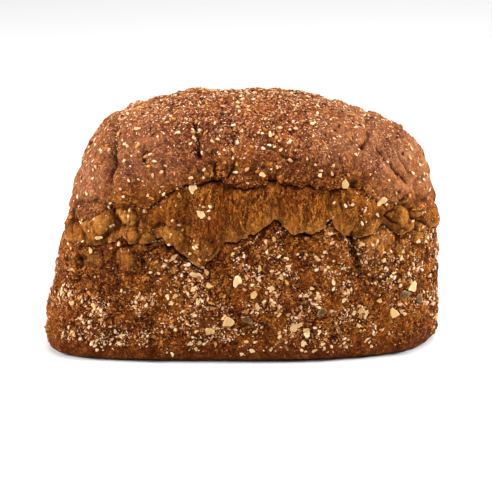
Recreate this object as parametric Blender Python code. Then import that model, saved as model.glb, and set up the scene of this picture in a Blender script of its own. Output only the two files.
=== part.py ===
"""A multigrain rye loaf baked in a tin, as one solid with its largest grains fused on.

Metres, +Z up. The loaf stands on z = 0, its length runs along X and its seen side faces -Y.
A place on the crust is a run and a climb. The run is the distance round the foot of the loaf,
from the middle of the front towards +X. The climb goes up the wall and over the crown.
"""

import math

import bmesh
import bpy
import numpy as np
from mathutils import Matrix, Vector
from mathutils.bvhtree import BVHTree

# Overall size
LENGTH = 0.239
DEPTH = 0.115
HEIGHT = 0.150
FOOT_RADIUS = 0.006

# The wall ends and the crown starts at this height
CROWN_START = 0.106
CROWN_RISE = HEIGHT - CROWN_START

# Walls: the left end leans in as it rises, the right end and the long sides belly out
LEFT_LEAN = (0.105, 1.09)
RIGHT_BELLY_HEIGHT = 0.033
RIGHT_BELLY_CURVE = 1.67
SIDE_BELLY = 0.003
SIDE_BELLY_SPAN = 0.130

# Squareness of the plan at the foot and at the top of the wall
LEFT_SQUARENESS = (4.6, 4.4)
RIGHT_SQUARENESS = (2.7, 2.5)

# The crown's ridge: how far it reaches to each end, how soft its bend is there, where it
# starts to fall, how fast, and how full the arcs are over the ends and over the sides
RIDGE_REACH = (0.070, 0.080)
RIDGE_BEND = 4.0
RIDGE_FALL_START = (0.039, 0.022)
RIDGE_FALL = (7.7, 3.9)
END_FULLNESS = (0.62, 1.05)
SIDE_FULLNESS = 0.82

# The upper tear, where the crown lifted off the tin's rim, as run and height on the front
UPPER_TEAR = (
    (-0.1300, 0.0830),
    (-0.1130, 0.0820),
    (-0.0980, 0.0885),
    (-0.0874, 0.0960),
    (-0.0740, 0.0965),
    (-0.0654, 0.0935),
    (-0.0544, 0.1010),
    (-0.0461, 0.1065),
    (-0.0162, 0.1105),
    (-0.0018, 0.1055),
    (0.0110, 0.1065),
    (0.0205, 0.1118),
    (0.0260, 0.1075),
    (0.0430, 0.1066),
    (0.0540, 0.1040),
    (0.0673, 0.1070),
    (0.0830, 0.0965),
    (0.0996, 0.0917),
    (0.1170, 0.0850),
    (0.1330, 0.0850),
)
BACK_TEAR_HEIGHT = 0.104
BACK_TEAR_UNEVEN = 0.005
BACK_TEAR_STEP = 0.013
BACK_TEAR_RISE = 3.0
LAST_STEP = 1.5
TEAR_WOBBLE = 0.0014
TEAR_WOBBLE_SIZE = 0.0065

# The lower tear hangs in lobes over the seeded side: run and height of the cusps between the
# lobes on the front, the drop of each lobe below its cusps, and its skew along the run
LOBE_CUSPS = (
    (-0.1080, 0.0740),
    (-0.0790, 0.0775),
    (-0.0521, 0.0785),
    (-0.0440, 0.0715),
    (-0.0120, 0.0750),
    (0.0190, 0.0875),
    (0.0530, 0.0885),
    (0.0855, 0.0845),
    (0.1060, 0.0770),
)
LOBE_DROPS = (0.0050, 0.0055, 0.0030, 0.0125, 0.0040, 0.0100, 0.0115, 0.0060, 0.0050)
LOBE_SKEWS = (1.0, 0.8, 1.0, 1.25, 1.0, 1.1, 0.75, 0.9, 1.0)
LOBE_WIDTHS = (0.011, 0.043)
LOBE_HEIGHTS = (0.075, 0.091)
LOBE_DROP_RANGE = (0.001, 0.014)
LOBE_SKEW_RANGE = (0.6, 1.6)
LOBE_ROUNDNESS = 0.7
LOBE_SWELL = 0.0034
LOBE_PILLOW = 0.5
LOBE_MEAN = 0.4
LEAST_BAND = 0.012
BAND_EDGE = (-0.0002, 0.0004)

# Cross-section of each tear: an overhanging lip, the step back under it and the groove, and
# how wide the tears open, as a share at the ends, at runs of the front and by unevenness
LIP = (0.0013, 0.0065)
STEP_BACK = (0.0012, 0.0060)
GROOVE = (0.0032, 0.0009)
SAG = (0.0006, 0.0014)
SAG_CENTRE = 0.0006
UPPER_STEP = 0.6
END_TEAR_SHARE = 0.45
FRONT_TEAR_RUNS = (-0.130, -0.085, -0.055, -0.040, 0.068, 0.082, 0.120)
FRONT_TEAR_SHARES = (0.35, 0.40, 0.70, 1.00, 1.00, 0.75, 0.45)
FRONT_TEAR_END = (0.120, 0.130)
TEAR_UNEVEN = 0.45
TEAR_UNEVEN_SIZE = 0.022
SIDE_SPREAD = (-0.5, 0.3)

# Furrows of the front, as x and height of both ends and depth
FURROWS = (
    (-0.0750, 0.1350, -0.0735, 0.1175, 0.0032),
    (-0.0735, 0.1175, -0.0755, 0.1050, 0.0018),
    (-0.0570, 0.1370, -0.0560, 0.1200, 0.0018),
    (-0.0280, 0.1420, -0.0250, 0.1330, 0.0026),
    (-0.0250, 0.1330, -0.0245, 0.1240, 0.0030),
    (-0.0160, 0.1230, -0.0150, 0.1120, 0.0022),
    (-0.0070, 0.1420, -0.0050, 0.1310, 0.0020),
    (-0.0040, 0.1200, -0.0085, 0.1120, 0.0024),
    (0.0240, 0.1240, 0.0330, 0.1180, 0.0028),
    (0.0270, 0.1370, 0.0360, 0.1300, 0.0018),
    (0.0410, 0.1150, 0.0480, 0.1130, 0.0018),
    (0.0480, 0.1410, 0.0490, 0.1330, 0.0014),
    (0.0690, 0.1260, 0.0740, 0.1370, 0.0024),
    (0.0780, 0.1250, 0.0840, 0.1190, 0.0016),
    (0.0860, 0.1170, 0.0960, 0.1040, 0.0022),
    (0.0500, 0.1030, 0.0508, 0.0940, 0.0014),
    (0.0630, 0.0770, 0.0640, 0.0580, 0.0028),
    (0.0910, 0.0330, 0.0910, 0.0180, 0.0014),
)
FURROW_WIDTH = 0.0034
FACE_BLEND = 0.010
BACK_FURROWS = 9
BACK_FURROW_PLACE = (0.2, 0.8)
BACK_FURROW_LEAN = (-0.006, 0.006)
BACK_FURROW_SPAN = 0.09
BACK_FURROW_LOW = (0.112, 0.122)
BACK_FURROW_LENGTH = (0.012, 0.026)
BACK_FURROW_DEPTH = (0.0014, 0.0026)

# Lumps of torn crust: those of the front as x, height, half width, half height and swell
TORN_LUMPS = (
    (-0.0845, 0.0855, 0.0125, 0.0105, 0.0030),
    (-0.0665, 0.0895, 0.0062, 0.0058, 0.0020),
    (-0.0555, 0.0735, 0.0050, 0.0046, 0.0018),
    (0.0918, 0.0842, 0.0050, 0.0062, 0.0026),
    (0.1030, 0.0868, 0.0052, 0.0058, 0.0024),
    (0.0955, 0.0925, 0.0034, 0.0036, 0.0014),
    (0.1050, 0.0990, 0.0048, 0.0062, 0.0016),
    (0.0770, 0.0680, 0.0120, 0.0170, 0.0022),
    (-0.0410, 0.0785, 0.0095, 0.0048, 0.0020),
    (-0.0235, 0.0715, 0.0070, 0.0052, 0.0020),
    (-0.0635, 0.0780, 0.0036, 0.0032, 0.0012),
)
BACK_LUMPS = 11
BACK_LUMP_SPAN = 0.105
BACK_LUMP_HEIGHT = (0.070, 0.101)
BACK_LUMP_WIDTH = (0.0055, 0.0140)
BACK_LUMP_FLATNESS = (0.55, 1.00)
BACK_LUMP_SWELL = (0.0014, 0.0030)

# The crack round each lump, as its distance and width in lump sizes, and depth in swells
LUMP_CRACK = (1.08, 0.14, 0.5)

# Uneven crust all over, as size and height of the unevenness, calmer on the crown
BROAD_SWELL = (0.036, 0.0022)
CROWN_CALM = 0.7
CRUST_LUMPS = (0.013, 0.0030)
BENDING = (0.015, 0.0035)
MEAN_FOLD = 0.25

# Seeds of the draws and of the noises
UPPER_TEAR_SEED = 3
LOWER_TEAR_SEED = 4
FURROW_SEED = 9
WOBBLE_SEEDS = (51, 53)
STRENGTH_SEED = 57
BEND_SEEDS = (61, 63)
SWELL_SEED = 11
LUMP_SEED = 23
BACK_LUMP_SEED = 31

# Mesh: columns round the loaf, and rings up each stretch of it
COLUMNS = 112
FOOT_RINGS = 3
WALL_RINGS = 10
BAND_RINGS = 2
CROWN_RINGS = 9
RINGS_AT_TEAR = (-0.0035, -0.0009, 0.0, 0.0013, 0.0036)

# Oat flakes and sunflower kernels that stand out on the front, as x, height and length
FRONT_FLAKES = (
    (-0.0285, 0.1055, 0.0056),
    (-0.0235, 0.0910, 0.0050),
    (-0.0030, 0.0515, 0.0066),
    (-0.0087, 0.0270, 0.0070),
    (-0.0196, 0.0200, 0.0062),
    (-0.0270, 0.0540, 0.0060),
    (0.0060, 0.0435, 0.0050),
    (0.0298, 0.0220, 0.0056),
    (0.0373, 0.0190, 0.0050),
    (0.0690, 0.0310, 0.0052),
    (0.0885, 0.0270, 0.0066),
    (0.1000, 0.0420, 0.0070),
    (0.0795, 0.0960, 0.0060),
    (0.0585, 0.1075, 0.0052),
)
FRONT_KERNELS = (
    (0.0457, 0.0310, 0.0080),
    (0.0950, 0.0380, 0.0076),
    (0.1040, 0.0330, 0.0070),
)

# Grains spread by a seeded draw: how many, and their length, width and thickness
FLAKES_SPREAD = 26
KERNELS_SPREAD = 9
SESAME_SPREAD = 56
FLAKE_SIZE = (0.0064, 0.0050, 0.0013)
KERNEL_SIZE = (0.0080, 0.0042, 0.0024)
SESAME_SIZE = (0.0034, 0.0021, 0.0013)
FLAKE_SIDES = 8
SEED_SIDES = 6
SEED_RINGS = 3
SEED_TAPER = 0.45
GRAIN_SPACING = 0.0065
BARE_FOOT = 0.012
HIGHEST_GRAIN_CLIMB = 1.35
GRAIN_TRIES = 40
GRAIN_SINK = 0.15
GRAIN_LEAN = 0.15
GRAIN_SPREAD = (0.85, 1.15)
CLEAR_OF_BAND = (0.004, 0.003)
GRAIN_SEED = 8

CRUST_COLOUR = (0.255, 0.092, 0.024, 1.0)
CRUST_ROUGHNESS = 0.72
WELD = 0.00001


def clear_scene():
    for item in list(bpy.data.objects):
        bpy.data.objects.remove(item, do_unlink=True)


def smooth_step(value, start, end):
    """0 before start, 1 after end, and an S-curve between them."""
    share = np.clip((value - start) / (end - start), 0.0, 1.0)
    return share * share * (3.0 - 2.0 * share)


def noise(points, size, seed):
    """Gradient noise: each corner of a cubic lattice has a fixed slope, blended by S-curves."""
    slopes = np.random.default_rng(seed).normal(size=(256, 3))
    slopes /= np.linalg.norm(slopes, axis=1, keepdims=True)
    order = np.random.default_rng(seed + 1).permutation(256)
    scaled = points / size
    cell = np.floor(scaled).astype(np.int64)
    part = scaled - cell
    blend = part * part * (3.0 - 2.0 * part)
    total = np.zeros(points.shape[:-1])
    for corner in np.ndindex(2, 2, 2):
        place = (cell + np.array(corner)) & 255
        pick = order[(order[(order[place[..., 0]] + place[..., 1]) & 255] + place[..., 2]) & 255]
        weight = np.prod(np.where(corner, blend, 1.0 - blend), axis=-1)
        total += weight * np.sum(slopes[pick] * (part - np.array(corner)), axis=-1)
    return 1.6 * total


def climb_of(height):
    """Climb at a height: a share of the crown's rise below 0, and an angle over the crown."""
    share = (height - CROWN_START) / CROWN_RISE
    return np.where(share < 0.0, share, np.arcsin(np.clip(share, 0.0, 1.0)))


def end_share(height, left):
    """The share of the full half length that each end wall reaches at a height."""
    lean = LEFT_LEAN[0] * height + LEFT_LEAN[1] * height**2
    belly = RIGHT_BELLY_CURVE * (height - RIGHT_BELLY_HEIGHT) ** 2
    return 1.0 - np.where(left, lean, belly) / (LENGTH / 2)


def ridge_height(x):
    """Height of the crown's ridge, which falls as a parabola towards each end."""
    left = RIDGE_FALL[0] * np.clip(-x - RIDGE_FALL_START[0], 0.0, None) ** 2
    right = RIDGE_FALL[1] * np.clip(x - RIDGE_FALL_START[1], 0.0, None) ** 2
    return HEIGHT - left - right


def plan_direction(angle, square):
    """The point of a unit superellipse in the direction of an angle."""
    across, along = np.cos(angle), np.sin(angle)
    reach = (np.abs(across) ** square + np.abs(along) ** square) ** (1.0 / square)
    return across / reach, along / reach


def smooth_loaf(angle, climb, inset=0.0):
    """Points of the loaf without its relief, at angles of the plan and climbs.

    The wall is a superellipse at each height. The crown's arcs rise from it to the ridge, a
    line along X, and both end walls are then brought in by their share at each height."""
    angle, climb = np.broadcast_arrays(angle, climb)
    left = np.cos(angle) < 0.0
    wall = CROWN_START + CROWN_RISE * np.minimum(climb, 0.0)
    over = np.clip(climb, 0.0, math.pi / 2)
    share = np.clip(wall / CROWN_START, 0.0, 1.0)
    low = np.where(left, LEFT_SQUARENESS[0], RIGHT_SQUARENESS[0])
    high = np.where(left, LEFT_SQUARENESS[1], RIGHT_SQUARENESS[1])
    across, along = plan_direction(angle, low + (high - low) * share)
    belly = SIDE_BELLY * (1.0 - np.sin(math.pi * np.clip(wall / SIDE_BELLY_SPAN, 0.0, 1.0)))
    wall_x = (LENGTH / 2 - inset) * across
    wall_y = (DEPTH / 2 - belly - inset) * along
    reach = np.where(left, RIDGE_REACH[0], RIDGE_REACH[1])
    ridge_x = wall_x / (1.0 + np.abs(wall_x / reach) ** RIDGE_BEND) ** (1.0 / RIDGE_BEND)
    turn = np.cos(over)
    fullness = np.where(left, END_FULLNESS[0], END_FULLNESS[1])
    x = ridge_x + (wall_x - ridge_x) * turn**fullness
    y = wall_y * turn**SIDE_FULLNESS
    crown = CROWN_START + (ridge_height(ridge_x) - CROWN_START) * np.sin(over)
    z = np.where(climb < 0.0, wall, crown)
    return np.stack([x * end_share(z, left), y, z], axis=-1)


def even_columns(count):
    """Angles of the plan, their runs and the girth. The angles start at the middle of the
    back and are evenly spaced round each half, so that the front mirrors the back."""
    fine = np.linspace(0.5 * math.pi, 2.5 * math.pi, 8001)
    foot = smooth_loaf(fine, climb_of(np.full_like(fine, FOOT_RADIUS)))
    steps = np.linalg.norm(np.diff(foot, axis=0), axis=1)
    run = np.concatenate([[0.0], np.cumsum(steps)])
    girth = run[-1]
    run -= np.interp(1.5 * math.pi, fine, run)
    left = np.linspace(run[0], 0.0, count // 2, endpoint=False)
    right = np.linspace(0.0, run[-1], count // 2, endpoint=False)
    even = np.concatenate([left, right])
    return np.interp(even, run, fine), even, girth


def noise_along(run, girth, size, seed):
    """Noise along a run, read on a circle so that it meets itself after one girth."""
    turn = 2.0 * math.pi * run / girth
    circle = np.stack([np.cos(turn), np.sin(turn), np.zeros_like(turn)], axis=-1)
    return noise(circle * girth / (2.0 * math.pi), size, seed)


def upper_tear(run, girth):
    """Height of the upper tear: through its points on the front, and by a draw behind."""
    draw = np.random.default_rng(UPPER_TEAR_SEED)
    runs = [place for place, _ in UPPER_TEAR]
    heights = [height for _, height in UPPER_TEAR]
    start, end = runs[-1], girth + runs[0]
    while runs[-1] + LAST_STEP * BACK_TEAR_STEP < end:
        runs.append(runs[-1] + BACK_TEAR_STEP)
        rise = min(1.0, BACK_TEAR_RISE * math.sin(math.pi * (runs[-1] - start) / (end - start)))
        middle = heights[0] + (BACK_TEAR_HEIGHT - heights[0]) * rise
        heights.append(middle + draw.uniform(-1.0, 1.0) * BACK_TEAR_UNEVEN)
    wobble = TEAR_WOBBLE * noise_along(run, girth, TEAR_WOBBLE_SIZE, WOBBLE_SEEDS[0])
    return np.interp(run, runs, heights, period=girth) + wobble


def lower_tear(run, girth):
    """Height of the lower tear, and the swell of the lobe above it, at each run."""
    draw = np.random.default_rng(LOWER_TEAR_SEED)
    runs = [place for place, _ in LOBE_CUSPS]
    heights = [height for _, height in LOBE_CUSPS]
    drops = list(LOBE_DROPS)
    skews = list(LOBE_SKEWS)
    end = girth + runs[0]
    while runs[-1] + LAST_STEP * LOBE_WIDTHS[1] < end:
        runs.append(runs[-1] + draw.uniform(*LOBE_WIDTHS))
        heights.append(draw.uniform(*LOBE_HEIGHTS))
        drops.append(draw.uniform(*LOBE_DROP_RANGE))
        skews.append(draw.uniform(*LOBE_SKEW_RANGE))
    runs = np.array([*runs, end])
    heights = np.array([*heights, heights[0]])
    place = np.mod(run - runs[0], girth) + runs[0]
    lobe = np.clip(np.searchsorted(runs, place, side="right") - 1, 0, len(drops) - 1)
    share = np.clip((place - runs[lobe]) / (runs[lobe + 1] - runs[lobe]), 0.0, 1.0)
    arch = np.sin(math.pi * share ** np.array(skews)[lobe])
    height = np.interp(place, runs, heights) - np.array(drops)[lobe] * arch**LOBE_ROUNDNESS
    height += TEAR_WOBBLE * noise_along(run, girth, TEAR_WOBBLE_SIZE, WOBBLE_SEEDS[1])
    return np.minimum(height, upper_tear(run, girth) - LEAST_BAND), arch**2


def tear_section(above):
    """How far a tear stands out of the wall and sags, at a height above its line."""
    lip = LIP[0] * np.exp(-np.abs(above) / LIP[1])
    step_back = STEP_BACK[0] * np.exp(-np.abs(above) / STEP_BACK[1])
    groove = GROOVE[0] * np.exp(-((above / GROOVE[1]) ** 2))
    sag = SAG[0] * np.exp(-(((above - SAG_CENTRE) / SAG[1]) ** 2))
    return np.where(above > 0.0, lip, -step_back) - groove, sag


def tear_strength(run, girth):
    """The tears open widest along both long sides, unevenly, and are shallow at the ends."""
    along_side = smooth_step(np.cos(4.0 * math.pi * run / girth), *SIDE_SPREAD)
    behind = END_TEAR_SHARE + (1.0 - END_TEAR_SHARE) * along_side
    front = np.interp(run, FRONT_TEAR_RUNS, FRONT_TEAR_SHARES)
    on_front = 1.0 - smooth_step(np.abs(run), *FRONT_TEAR_END)
    uneven = 1.0 + TEAR_UNEVEN * noise_along(run, girth, TEAR_UNEVEN_SIZE, STRENGTH_SEED)
    return uneven * (behind + (front - behind) * on_front)


def to_segment(x, z, ends):
    """Distance of each x and height from the straight line between two ends."""
    x0, z0, x1, z1 = ends
    along_x, along_z = x1 - x0, z1 - z0
    share = ((x - x0) * along_x + (z - z0) * along_z) / (along_x**2 + along_z**2)
    share = np.clip(share, 0.0, 1.0)
    return np.hypot(x - x0 - share * along_x, z - z0 - share * along_z)


def back_furrows():
    """Furrows of the back of the crown, spread along it by a seeded draw."""
    draw = np.random.default_rng(FURROW_SEED)
    for number in range(BACK_FURROWS):
        place = (number + draw.uniform(*BACK_FURROW_PLACE)) / BACK_FURROWS
        x = BACK_FURROW_SPAN * (2.0 * place - 1.0)
        low = draw.uniform(*BACK_FURROW_LOW)
        high = low + draw.uniform(*BACK_FURROW_LENGTH)
        high_x = x + draw.uniform(*BACK_FURROW_LEAN)
        yield x, low, high_x, high, draw.uniform(*BACK_FURROW_DEPTH)


def back_lumps():
    """Lumps of torn crust along the back, spread by a seeded draw."""
    draw = np.random.default_rng(BACK_LUMP_SEED)
    for number in range(BACK_LUMPS):
        place = (number + draw.uniform(0.0, 1.0)) / BACK_LUMPS
        half_width = draw.uniform(*BACK_LUMP_WIDTH)
        half_height = half_width * draw.uniform(*BACK_LUMP_FLATNESS)
        height = draw.uniform(*BACK_LUMP_HEIGHT)
        swell = draw.uniform(*BACK_LUMP_SWELL)
        yield BACK_LUMP_SPAN * (2.0 * place - 1.0), height, half_width, half_height, swell


def folds(points):
    """Furrows, and lumps with a crack round them, both bent off their straight forms."""
    size, amount = BENDING
    x = points[..., 0] + amount * noise(points, size, BEND_SEEDS[0])
    z = points[..., 2] + amount * noise(points, size, BEND_SEEDS[1])
    front = smooth_step(-points[..., 1], 0.0, FACE_BLEND)
    back = smooth_step(points[..., 1], 0.0, FACE_BLEND)
    out = np.zeros_like(x)
    for side, furrows in ((front, FURROWS), (back, back_furrows())):
        for *ends, depth in furrows:
            out -= side * depth * np.exp(-((to_segment(x, z, ends) / FURROW_WIDTH) ** 2))
    distance, width, depth = LUMP_CRACK
    for side, lumps in ((front, TORN_LUMPS), (back, back_lumps())):
        for middle, height, half_width, half_height, swell in lumps:
            away = np.hypot((x - middle) / half_width, (z - height) / half_height)
            dome = np.clip(1.0 - away**2, 0.0, None)
            crack = np.exp(-(((away - distance) / width) ** 2))
            out += side * swell * (dome - depth * crack)
    return out


def relief(points, run, girth):
    """How far the crust stands out of the smooth loaf, and how far it sags, in metres."""
    height = points[..., 2]
    upper = upper_tear(run, girth)
    lower, lobe = lower_tear(run, girth)
    strength = tear_strength(run, girth)
    upper_out, upper_sag = tear_section(height - upper)
    lower_out, lower_sag = tear_section(height - lower)
    in_band = smooth_step(height - lower, *BAND_EDGE) * (height < upper)
    share = np.clip((height - lower) / (upper - lower), 0.0, 1.0)
    pillow = np.sin(math.pi * share) ** LOBE_PILLOW
    swell = LOBE_SWELL * (lobe * pillow - LOBE_MEAN) * in_band
    out = strength * (UPPER_STEP * upper_out + lower_out + swell)
    out += folds(points)
    calm = 1.0 - CROWN_CALM * smooth_step(height, CROWN_START, HEIGHT)
    out += calm * BROAD_SWELL[1] * noise(points, BROAD_SWELL[0], SWELL_SEED)
    out += CRUST_LUMPS[1] * (np.abs(noise(points, CRUST_LUMPS[0], LUMP_SEED)) - MEAN_FOLD)
    clear_of_foot = smooth_step(height, 0.0, FOOT_RADIUS)
    return out * clear_of_foot, strength * (upper_sag + lower_sag)


def between(start, end, count):
    """Evenly spaced climbs from the start up to, but not with, the end."""
    return [start + (end - start) * step / count for step in range(count)]


def ring_climbs(run, girth):
    """The climb of every ring above the foot: close together at the tears, even elsewhere."""
    lower, _ = lower_tear(run, girth)
    upper = upper_tear(run, girth)
    at_lower = [climb_of(lower + offset) for offset in RINGS_AT_TEAR]
    at_upper = [climb_of(upper + offset) for offset in RINGS_AT_TEAR]
    foot = climb_of(np.full_like(run, FOOT_RADIUS))
    top = np.full_like(run, math.pi / 2)
    climbs = between(foot, at_lower[0], WALL_RINGS)
    climbs += at_lower[:-1] + between(at_lower[-1], at_upper[0], BAND_RINGS)
    climbs += at_upper[:-1] + between(at_upper[-1], top, CROWN_RINGS) + [top]
    return climbs


def crust_rings():
    """Rings of points from the edge of the flat base up to the crown's ridge.

    In the last ring, which lies along the ridge, each column meets the one that faces it."""
    angle, run, girth = even_columns(COLUMNS)
    rings = []
    for step in range(FOOT_RINGS):
        turn = 0.5 * math.pi * step / FOOT_RINGS
        height = np.full_like(angle, FOOT_RADIUS * (1.0 - math.cos(turn)))
        rings.append(smooth_loaf(angle, climb_of(height), FOOT_RADIUS * (1.0 - math.sin(turn))))
    rings += [smooth_loaf(angle, climb) for climb in ring_climbs(run, girth)]
    rings = np.array(rings)
    round_loaf = np.roll(rings, -1, axis=1) - np.roll(rings, 1, axis=1)
    outward = np.cross(round_loaf, np.gradient(rings, axis=0))
    outward[-1] = (0.0, 0.0, 1.0)
    outward /= np.linalg.norm(outward, axis=-1, keepdims=True)
    out, sag = relief(rings, np.broadcast_to(run, rings.shape[:2]), girth)
    rings = rings + outward * out[..., None]
    rings[..., 2] -= sag
    facing = (COLUMNS // 2 - np.arange(COLUMNS)) % COLUMNS
    rings[-1] = 0.5 * (rings[-1] + rings[-1][facing])
    return rings


def make_crust():
    """Skins the rings, closes the base with a flat face and sews the crown along its ridge."""
    mesh = bmesh.new()
    loops = [[mesh.verts.new(point) for point in ring] for ring in crust_rings()]
    for below, above in zip(loops, loops[1:]):
        for column in range(COLUMNS):
            beside = (column + 1) % COLUMNS
            mesh.faces.new((below[column], below[beside], above[beside], above[column]))
    mesh.faces.new(reversed(loops[0]))
    bmesh.ops.remove_doubles(mesh, verts=mesh.verts, dist=WELD)
    bmesh.ops.triangulate(mesh, faces=mesh.faces)
    data = bpy.data.meshes.new("loaf")
    mesh.to_mesh(data)
    mesh.free()
    crust = bpy.data.objects.new("loaf", data)
    bpy.context.scene.collection.objects.link(crust)
    return crust


def seed_mesh(name, size):
    """A seed: a ball of few sides, drawn to a tear at one end and flattened."""
    mesh = bmesh.new()
    bmesh.ops.create_uvsphere(mesh, u_segments=SEED_SIDES, v_segments=SEED_RINGS, radius=0.5)
    lay_down = Matrix.Rotation(math.pi / 2, 3, "Y")
    bmesh.ops.rotate(mesh, verts=mesh.verts, cent=(0.0, 0.0, 0.0), matrix=lay_down)
    for vert in mesh.verts:
        vert.co.y *= (1.0 - SEED_TAPER * (vert.co.x + 0.5)) / (1.0 - 0.5 * SEED_TAPER)
    bmesh.ops.scale(mesh, vec=size, verts=mesh.verts)
    data = bpy.data.meshes.new(name)
    mesh.to_mesh(data)
    mesh.free()
    return data


def flake_mesh(name, size, draw):
    """A rolled oat: a flat disc with an uneven outline and a bevelled rim."""
    mesh = bmesh.new()
    bmesh.ops.create_cone(
        mesh, cap_ends=True, segments=FLAKE_SIDES, radius1=0.5, radius2=0.4, depth=1.0
    )
    uneven = draw.uniform(0.84, 1.12, FLAKE_SIDES)
    for vert in mesh.verts:
        side = round(math.atan2(vert.co.y, vert.co.x) / (2.0 * math.pi / FLAKE_SIDES))
        vert.co.xy *= uneven[side % FLAKE_SIDES]
    bmesh.ops.scale(mesh, vec=size, verts=mesh.verts)
    bmesh.ops.triangulate(mesh, faces=mesh.faces)
    data = bpy.data.meshes.new(name)
    mesh.to_mesh(data)
    mesh.free()
    return data


def front_spots():
    """The named flakes and kernels of the front: kind, a point before the crust and length."""
    for kind, spots in (("flake", FRONT_FLAKES), ("kernel", FRONT_KERNELS)):
        for x, height, length in spots:
            yield kind, Vector((x, -DEPTH / 2, height)), length


def spread_spots(draw):
    """Grains by a seeded draw over the crown and the side, clear of band and bare foot."""
    angle, run, girth = even_columns(COLUMNS)
    kinds = ["flake"] * FLAKES_SPREAD + ["kernel"] * KERNELS_SPREAD + ["sesame"] * SESAME_SPREAD
    lengths = {"flake": FLAKE_SIZE[0], "kernel": KERNEL_SIZE[0], "sesame": SESAME_SIZE[0]}
    lowest = float(climb_of(BARE_FOOT))
    for kind in kinds:
        for _ in range(GRAIN_TRIES):
            climb = draw.uniform(lowest, HIGHEST_GRAIN_CLIMB)
            place = np.array([draw.uniform(run[0], run[0] + girth)])
            turned = np.interp(place, run, angle)
            point = smooth_loaf(turned, np.array([climb]))[0]
            lower, _ = lower_tear(place, girth)
            upper = upper_tear(place, girth)
            below, above = lower[0] - CLEAR_OF_BAND[0], upper[0] + CLEAR_OF_BAND[1]
            if not below < point[2] < above:
                yield kind, Vector(point), lengths[kind] * draw.uniform(*GRAIN_SPREAD)
                break


def settle(grain, place, outward, sink, draw):
    """Lays a grain flat on the crust, turned and leant by the draw, with part of it sunk in."""
    spin = Matrix.Rotation(draw.uniform(0.0, 2.0 * math.pi), 4, "Z")
    lean = Matrix.Rotation(draw.uniform(-GRAIN_LEAN, GRAIN_LEAN), 4, "X")
    stand = outward.to_track_quat("Z", "Y").to_matrix().to_4x4()
    grain.matrix_world = Matrix.Translation(place - outward * sink) @ stand @ spin @ lean


def make_grains(crust):
    """Lays every grain on the crust, clear of the others, and returns their collection."""
    draw = np.random.default_rng(GRAIN_SEED)
    grains = bpy.data.collections.new("grains")
    bpy.context.scene.collection.children.link(grains)
    tree = BVHTree.FromObject(crust, bpy.context.evaluated_depsgraph_get())
    taken = []
    for kind, near, length in [*front_spots(), *spread_spots(draw)]:
        place, outward, _, _ = tree.find_nearest(near)
        if any((place - other).length < GRAIN_SPACING for other in taken):
            continue
        taken.append(place)
        name = f"{kind}_{len(taken):03d}"
        full = {"flake": FLAKE_SIZE, "kernel": KERNEL_SIZE, "sesame": SESAME_SIZE}[kind]
        size = [side * length / full[0] for side in full]
        data = flake_mesh(name, size, draw) if kind == "flake" else seed_mesh(name, size)
        grain = bpy.data.objects.new(name, data)
        grains.objects.link(grain)
        settle(grain, place, outward, GRAIN_SINK * size[2], draw)
    return grains


def fuse(crust, grains):
    """One union of the crust with all its grains, applied, after which the grains go."""
    union = crust.modifiers.new("grains", "BOOLEAN")
    union.operation = "UNION"
    union.operand_type = "COLLECTION"
    union.collection = grains
    union.solver = "MANIFOLD"
    bpy.context.view_layer.update()
    graph = bpy.context.evaluated_depsgraph_get()
    fused = bpy.data.meshes.new_from_object(crust.evaluated_get(graph))
    crust.modifiers.clear()
    crust.data = fused
    for grain in list(grains.objects):
        bpy.data.objects.remove(grain, do_unlink=True)
    bpy.data.collections.remove(grains)


def bodies_of(mesh):
    """The separate bodies of a mesh, each as a set of its vertices."""
    left = set(mesh.verts)
    while left:
        body, edge_of_search = set(), [left.pop()]
        while edge_of_search:
            vert = edge_of_search.pop()
            body.add(vert)
            for edge in vert.link_edges:
                other = edge.other_vert(vert)
                if other in left:
                    left.discard(other)
                    edge_of_search.append(other)
        yield body


def drop_scraps(crust):
    """Keeps only the largest body, so that no loose scrap or sealed hollow is left."""
    mesh = bmesh.new()
    mesh.from_mesh(crust.data)
    bmesh.ops.remove_doubles(mesh, verts=mesh.verts, dist=WELD)
    bodies = sorted(bodies_of(mesh), key=len)
    scraps = [vert for body in bodies[:-1] for vert in body]
    bmesh.ops.delete(mesh, geom=scraps, context="VERTS")
    bmesh.ops.triangulate(mesh, faces=mesh.faces)
    mesh.to_mesh(crust.data)
    mesh.free()


def crust_material():
    material = bpy.data.materials.new("rye_crust")
    material.use_nodes = True
    shader = material.node_tree.nodes["Principled BSDF"]
    shader.inputs["Base Color"].default_value = CRUST_COLOUR
    shader.inputs["Roughness"].default_value = CRUST_ROUGHNESS
    shader.inputs["Metallic"].default_value = 0.0
    return material


def main():
    clear_scene()
    crust = make_crust()
    fuse(crust, make_grains(crust))
    drop_scraps(crust)
    crust.data.materials.clear()
    crust.data.materials.append(crust_material())


main()
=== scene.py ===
"""Looks of a multigrain rye loaf baked in a tin: its fine crust and its scattered grains.

The crust is worked out from the same named sizes as the CAD solid, on a finer grid. A place on
it is a run and a climb: the run is the distance round the foot from the middle of the front
towards +X, and the climb goes up the wall and over the crown. Every grain lies on that crust.
"""

import math

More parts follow.
